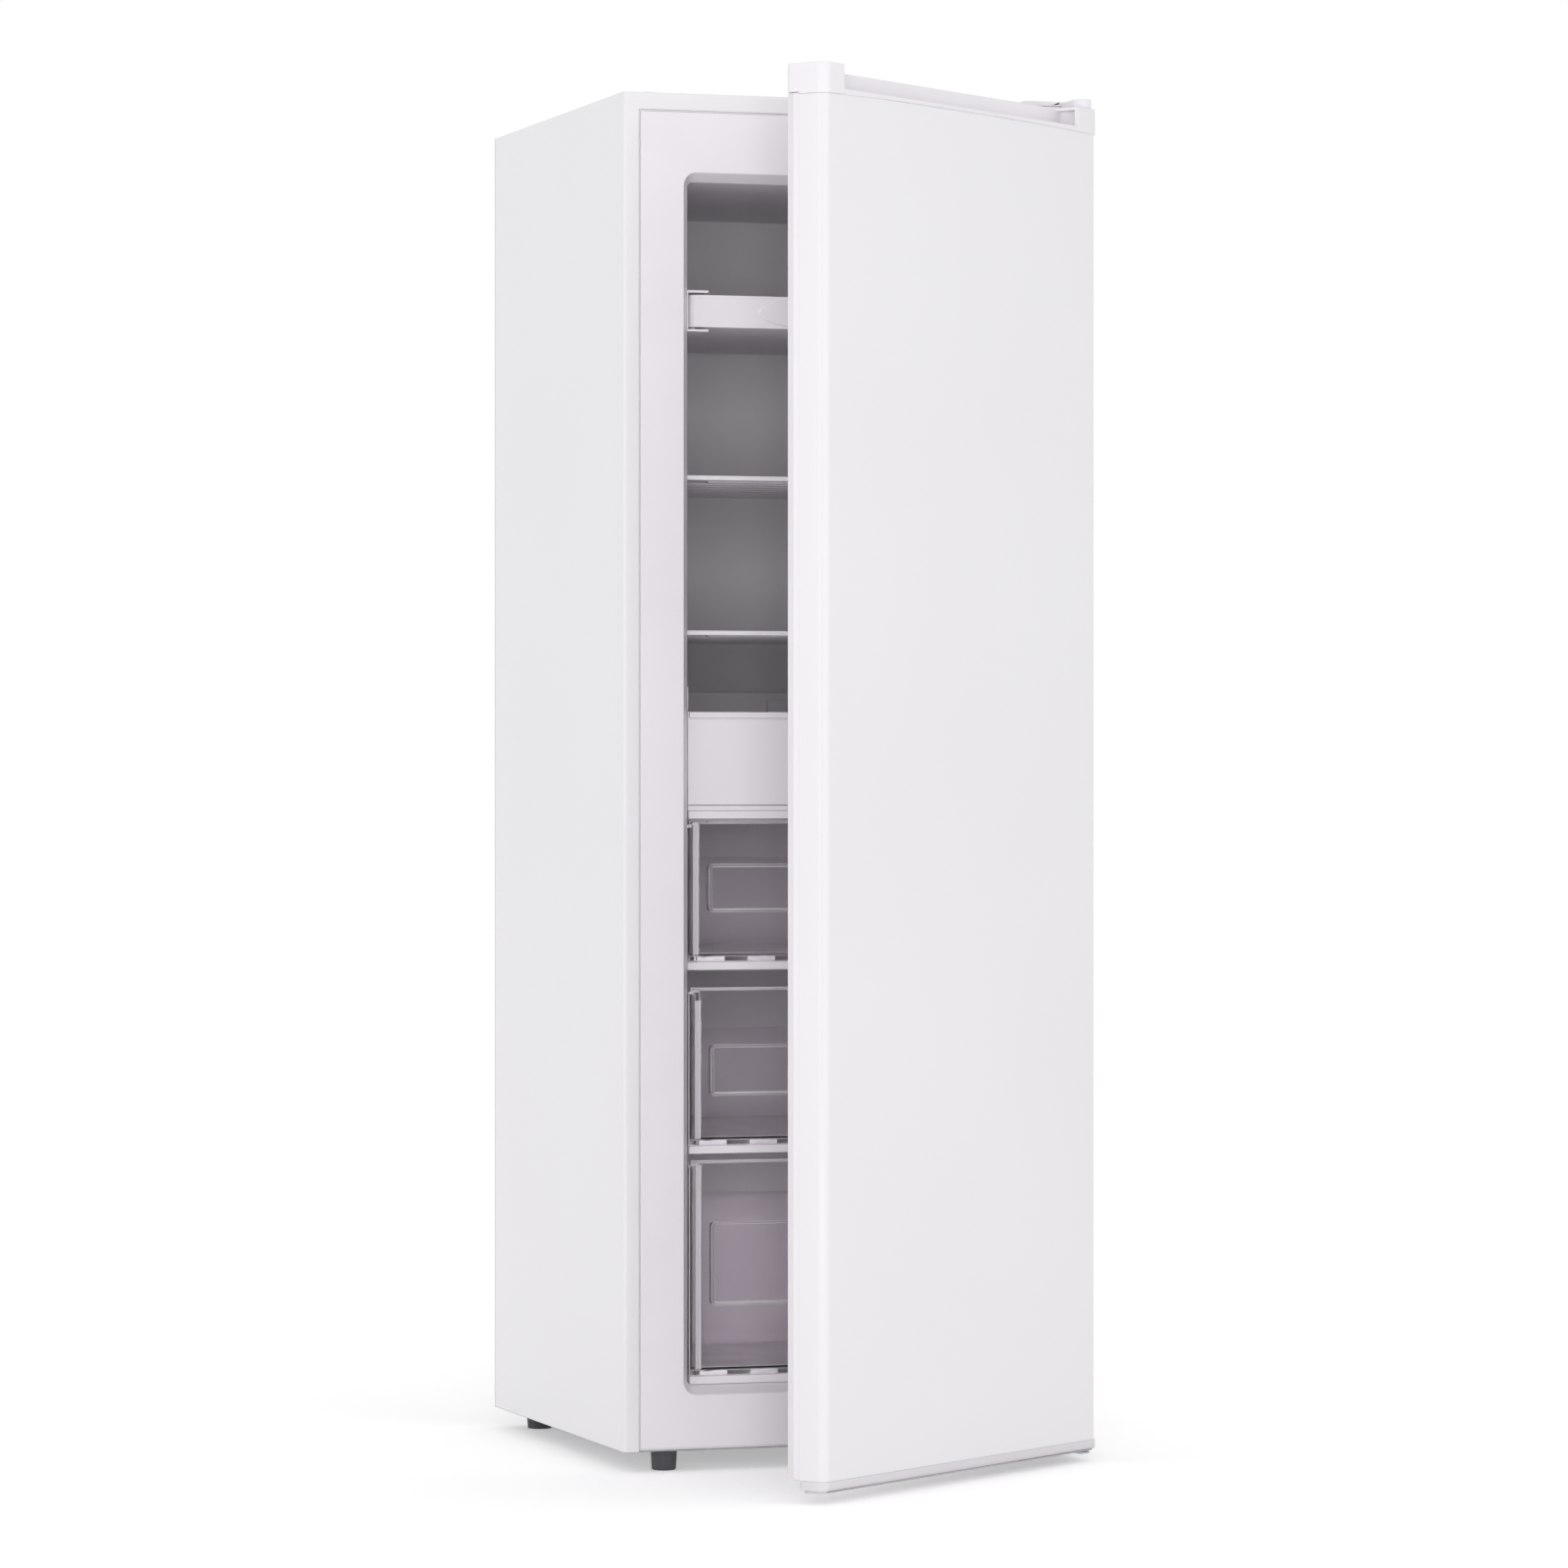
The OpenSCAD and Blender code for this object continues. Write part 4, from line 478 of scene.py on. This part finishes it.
softEdgeSettings = {
    "widths": {  # millimetres, by node
        "outer_wrapper": 0.8, "inner_liner": 0.9, "door_skin": 0.3, "door_top_cap": 0.4, "corner_cover": 0.8,
        "door_bottom_cap": 0.6, "door_liner": 0.9, "hinge_cover": 0.9, "top_tray": 0.6, "tray_guides": 0.5,
        "shelf_trim_1": 0.4, "shelf_trim_2": 0.4, "bin_front": 0.6, "bin_rail": 0.5, "bin_tub": 0.4,
        "upper_drawer": 0.7, "middle_drawer": 0.7, "lower_drawer": 0.7, "upper_drawer_rail": 0.5,
        "middle_drawer_rail": 0.5, "lower_drawer_rail": 0.5, "terminal_cover": 0.8, "thermostat_box": 0.8,
        "thermostat_knob": 0.5, "top_hinge": 0.4, "bottom_hinge": 0.4, "base_plate": 0.4,
        "compressor_plate": 0.4, "back_panel": 0.3, "levelling_leg_left": 0.6, "levelling_leg_right": 0.6,
        "rear_feet": 0.6, "spare_hole_plugs": 0.4, "cord_gland": 0.5,
    },
    "sharpAngle": 30,  # degrees; flatter edges belong to curved faces
    "lipAngle": 24,  # the liner's bevelled lip meets its walls at 28 degrees
    "rings": 2,
    "strayLimit": 0.6,  # times the width: no vertex of a rounded edge lies further from the CAD surface
    "merge": 0.002,  # millimetres between vertices that are one
    "cutReach": 0.0001,  # millimetres between a vertex and the plane that cuts there
    "flat": 0.3,  # degrees between triangles of one flat face
}

bodyOfNode = {
    member: body for body, members in frame["record"]["behaviour"]["bodies"].items() for member in members}


def joinFlatFaces(form, centre):
    # flat triangles become whole faces, cut along the piece's middle so that no face runs all the way round
    # an opening
    values = softEdgeSettings
    for across in ((1, 0, 0), (0, 0, 1)):
        halves = bmesh.ops.bisect_plane(
            form, geom=form.verts[:] + form.edges[:] + form.faces[:], dist=values["cutReach"] / 1000,
            plane_co=centre, plane_no=across)
        for part in halves["geom_cut"]:
            if isinstance(part, bmesh.types.BMEdge):
                part.seam = True
    bmesh.ops.dissolve_limit(
        form, angle_limit=math.radians(values["flat"]), verts=form.verts, edges=form.edges, delimit={"SEAM"})


def returnStrays(mesh, surface, reach):
    # where two rounded edges run almost parallel, their corner shoots away: it comes back to the surface
    for vert in mesh.vertices:
        place, normal, index, distance = surface.find_nearest(vert.co)
        if distance > reach:
            vert.co = place


def softened(nodeName, width, roundingFinish=None):
    # a copy of the node with its sharp edges rounded, and its curved faces shaded smooth
    values = softEdgeSettings
    form = bmesh.new()
    form.from_mesh(frame["nodes"][nodeName].data)
    bmesh.ops.remove_doubles(form, verts=form.verts, dist=values["merge"] / 1000)
    low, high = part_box(nodeName)
    joinFlatFaces(form, (low + high) / 2)
    mesh = bpy.data.meshes.new(nodeName + "_soft")
    surface = BVHTree.FromBMesh(form)
    form.to_mesh(mesh)
    form.free()
    if "custom_normal" in mesh.attributes:
        mesh.attributes.remove(mesh.attributes["custom_normal"])
    piece = bpy.data.objects.new(nodeName + "_soft", mesh)
    bpy.context.scene.collection.objects.link(piece)
    mesh.shade_smooth()
    sharpAngle = math.radians(values["lipAngle"] if nodeName == "inner_liner" else values["sharpAngle"])
    mesh.set_sharp_from_angle(angle=sharpAngle)
    bevel = piece.modifiers.new("rounding", "BEVEL")
    bevel.width = width / 1000
    bevel.segments = values["rings"]
    bevel.limit_method = "ANGLE"
    bevel.angle_limit = sharpAngle
    bevel.use_clamp_overlap = False
    bevel.harden_normals = True
    if roundingFinish:
        mesh.materials.append(slotMaterials[nodeSlots[nodeName]])
        mesh.materials.append(roundingFinish)
        bevel.material = 1
    shown = bpy.data.meshes.new_from_object(piece.evaluated_get(bpy.context.evaluated_depsgraph_get()))
    returnStrays(shown, surface, values["strayLimit"] * width / 1000)
    piece.modifiers.clear()
    piece.data = shown
    shown.name = nodeName + "_soft"
    if not roundingFinish:
        shown.materials.clear()
        shown.materials.append(slotMaterials[nodeSlots[nodeName]])
    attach(piece, bodyOfNode[nodeName])
    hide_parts(nodeName)
    return piece


def roundedBar(name, low, high, rounding, finish):
    # a straight bar between two corners in metres, with its edges rounded
    form = bmesh.new()
    bmesh.ops.create_cube(form, size=1.0)
    for vert in form.verts:
        vert.co = Vector([low[i] if vert.co[i] < 0 else high[i] for i in range(3)])
    bmesh.ops.recalc_face_normals(form, faces=form.faces)
    bmesh.ops.bevel(form, geom=form.edges[:], offset=rounding / 1000, segments=3, profile=0.5, affect="EDGES")
    mesh = bpy.data.meshes.new(name)
    form.to_mesh(mesh)
    form.free()
    mesh.shade_smooth()
    mesh.materials.append(finish)
    bar = bpy.data.objects.new(name, mesh)
    bpy.context.scene.collection.objects.link(bar)
    return bar


# Clear drawers: a ridge painted pale along the top of the lower two fronts, and a frosted upright painted
# pale behind each end of all three; the pale is painted light

drawerSettings = {  # millimetres
    "ribTops": {"upper_drawer": 1.5, "middle_drawer": 13.0, "lower_drawer": 5.0},  # below the front's top
    "rim": 4.0,
    "ribIn": 6.6, "ribWidth": 6.6, "ribDepth": 2.0,
    "sheet": 2.4, "gap": 0.25, "foot": 7.0, "rounding": 0.6,
}


def paintedLightRim(piece, top):
    # the ridge along the top of a clear front is painted pale all over: painted light, for the light it
    # gathers
    for face in piece.data.polygons:
        if face.center.z > top - drawerSettings["rim"] / 1000:
            face.material_index = 1


def paintedLightRib(nodeName, side):
    # the upright that stiffens one end of a clear front, with its corners rounded, frosted and painted pale:
    # painted light
    values = drawerSettings
    low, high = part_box(nodeName)
    half = (high[0] - low[0]) / 2
    outer = half - values["ribIn"] / 1000
    inner = outer - values["ribWidth"] / 1000
    front = low[1] + (values["sheet"] + values["gap"]) / 1000
    rib = roundedBar(
        nodeName + ("_rib_left" if side < 0 else "_rib_right"),
        (side * outer, front, low[2] + values["foot"] / 1000),
        (side * inner, front + values["ribDepth"] / 1000, high[2] - values["ribTops"][nodeName] / 1000),
        values["rounding"], clearEdge)
    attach(rib, bodyOfNode[nodeName])


for nodeName, width in softEdgeSettings["widths"].items():
    if nodeName in drawerSettings["ribTops"]:
        # the drawers' rounded edges take the pale edge finish: painted highlight
        drawer = softened(nodeName, width, clearEdge)
        if nodeName != "upper_drawer":
            paintedLightRim(drawer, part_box(nodeName)[1][2])
        paintedLightRib(nodeName, -1)
        paintedLightRib(nodeName, 1)
    else:
        piece = softened(nodeName, width)
        if nodeName == "door_bottom_cap":
            # the door's lower cap takes the greyer copy: painted shade
            piece.data.materials[0] = lowCapShadedMoulding
print("pieces with softened edges:", len(softEdgeSettings["widths"]))

# The sealing strip that closes the joint between the liner's lower edge and the base plate

sealSettings = {"behind": 1.2, "thick": 1.2, "overlap": 0.1, "endIn": 1.5, "rounding": 0.3}  # millimetres


def sealingStrip():
    values = {key: value / 1000 for key, value in sealSettings.items()}
    linerLow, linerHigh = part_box("inner_liner")
    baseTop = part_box("cabinet_foam")[0][2]
    front = linerLow[1] + values["behind"]
    strip = roundedBar(
        "liner_sealing_strip",
        (linerLow[0] + values["endIn"], front, baseTop),
        (linerHigh[0] - values["endIn"], front + values["thick"], linerLow[2] + values["overlap"]),
        sealSettings["rounding"], slotMaterials["white_gasket"])
    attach(strip, bodyOfNode["inner_liner"])


sealingStrip()
print("sealing strip made")

# Camera and studio

studioSettings = {
    "cameraPlace": (-2.0724, -6.3734, 0.7126),  # metres, at half the height of the freezer
    "cameraTurn": 18.048,  # degrees to the right of straight ahead
    "lens": 142.667,
    "shiftY": -0.0025,
    "farthest": 200,  # metres that the camera sees
    "floorSize": 40,  # metres from the middle to an edge
    "floorColour": "#f4f3f4",
    "floorLift": 0.3,  # added to what is seen of the floor, so that it runs into the background
    "skyStrength": 0.8,
    # the softbox in front of the camera
    "boxPlace": (-1.75, -5.4, 1.0), "boxSize": (1.6, 2.0), "boxPower": 88.0, "boxAim": (0, 0, 0.7),
    # the black flag that rounded edges mirror
    "flagPlace": (-2.25, -6.9, 1.2), "flagSize": (3.0, 3.2), "flagColour": "#0c0c0c",
}


def seenDirectly(tree):
    # 1 where the camera sees something itself, in a mirror or through glass, and 0 for the light it gives
    path = addNode(tree, "ShaderNodeLightPath")
    mirrored = addNode(tree, "ShaderNodeMath", {"operation": "MAXIMUM"}, {
        0: path.outputs["Is Camera Ray"], 1: path.outputs["Is Glossy Ray"]})
    return addNode(tree, "ShaderNodeMath", {"operation": "MAXIMUM"}, {
        0: mirrored.outputs[0], 1: path.outputs["Is Transmission Ray"]}).outputs[0]


def makeCamera():
    values = studioSettings
    camera = bpy.data.objects.new("camera", bpy.data.cameras.new("camera"))
    camera.location = values["cameraPlace"]
    camera.rotation_euler = (math.radians(90), 0, math.radians(-values["cameraTurn"]))
    camera.data.lens = values["lens"]
    camera.data.shift_y = values["shiftY"]
    camera.data.clip_end = values["farthest"]
    bpy.context.scene.collection.objects.link(camera)
    bpy.context.scene.camera = camera


def makeFloor():
    values = studioSettings
    size = values["floorSize"]
    mesh = bpy.data.meshes.new("floor")
    corners = [(-size, -size, 0), (size, -size, 0), (size, size, 0), (-size, size, 0)]
    mesh.from_pydata(corners, [], [(0, 1, 2, 3)])
    floor = bpy.data.objects.new("floor", mesh)
    bpy.context.scene.collection.objects.link(floor)
    material = bpy.data.materials.new("studio paper, matt")
    material.use_nodes = True
    tree = material.node_tree
    tree.nodes.clear()
    paper = addNode(tree, "ShaderNodeBsdfDiffuse", {"Color": colour(values["floorColour"])})
    lift = addNode(tree, "ShaderNodeMath", {"operation": "MULTIPLY", 1: values["floorLift"]}, {
        0: seenDirectly(tree)})
    glow = addNode(tree, "ShaderNodeEmission", {}, {"Strength": lift.outputs[0]})
    both = addNode(tree, "ShaderNodeAddShader", {}, {0: paper.outputs[0], 1: glow.outputs[0]})
    addNode(tree, "ShaderNodeOutputMaterial", {}, {"Surface": both.outputs[0]})
    mesh.materials.append(material)


def makeSky():
    world = bpy.data.worlds.new("studio")
    world.use_nodes = True
    tree = world.node_tree
    tree.nodes.clear()
    light = addNode(tree, "ShaderNodeBackground", {
        "Color": (1, 1, 1, 1), "Strength": studioSettings["skyStrength"]})
    white = addNode(tree, "ShaderNodeBackground", {"Color": (1, 1, 1, 1), "Strength": 1.0})
    both = addNode(tree, "ShaderNodeMixShader", {}, {
        0: seenDirectly(tree), 1: light.outputs[0], 2: white.outputs[0]})
    addNode(tree, "ShaderNodeOutputWorld", {}, {"Surface": both.outputs[0]})
    bpy.context.scene.world = world


def makeSoftbox():
    values = studioSettings
    lamp = bpy.data.lights.new("softbox", "AREA")
    lamp.shape = "RECTANGLE"
    lamp.size, lamp.size_y = values["boxSize"]
    lamp.energy = values["boxPower"]
    softbox = bpy.data.objects.new("softbox", lamp)
    softbox.location = values["boxPlace"]
    aim = Vector(values["boxAim"]) - Vector(values["boxPlace"])
    softbox.rotation_euler = aim.to_track_quat("-Z", "Y").to_euler()
    softbox.visible_glossy = False
    bpy.context.scene.collection.objects.link(softbox)


def makeFlag():
    # a black cloth behind the camera, seen only in reflections: it draws a darker line along rounded edges
    values = studioSettings
    x, z = (side / 2 for side in values["flagSize"])
    mesh = bpy.data.meshes.new("flag")
    mesh.from_pydata([(-x, 0, -z), (x, 0, -z), (x, 0, z), (-x, 0, z)], [], [(0, 1, 2, 3)])
    flag = bpy.data.objects.new("flag", mesh)
    flag.location = values["flagPlace"]
    flag.rotation_euler = (0, 0, math.radians(-values["cameraTurn"]))
    bpy.context.scene.collection.objects.link(flag)
    material = bpy.data.materials.new("black velvet, woven")
    material.use_nodes = True
    material.node_tree.nodes.clear()
    cloth = addNode(material.node_tree, "ShaderNodeBsdfDiffuse", {"Color": colour(values["flagColour"])})
    addNode(material.node_tree, "ShaderNodeOutputMaterial", {}, {"Surface": cloth.outputs[0]})
    mesh.materials.append(material)
    flag.visible_camera = False
    flag.visible_diffuse = False
    flag.visible_transmission = False
    flag.visible_shadow = False


bpy.context.scene.view_settings.view_transform = "Standard"
makeCamera()
makeFloor()
makeSky()
makeSoftbox()
makeFlag()
print("studio ready")
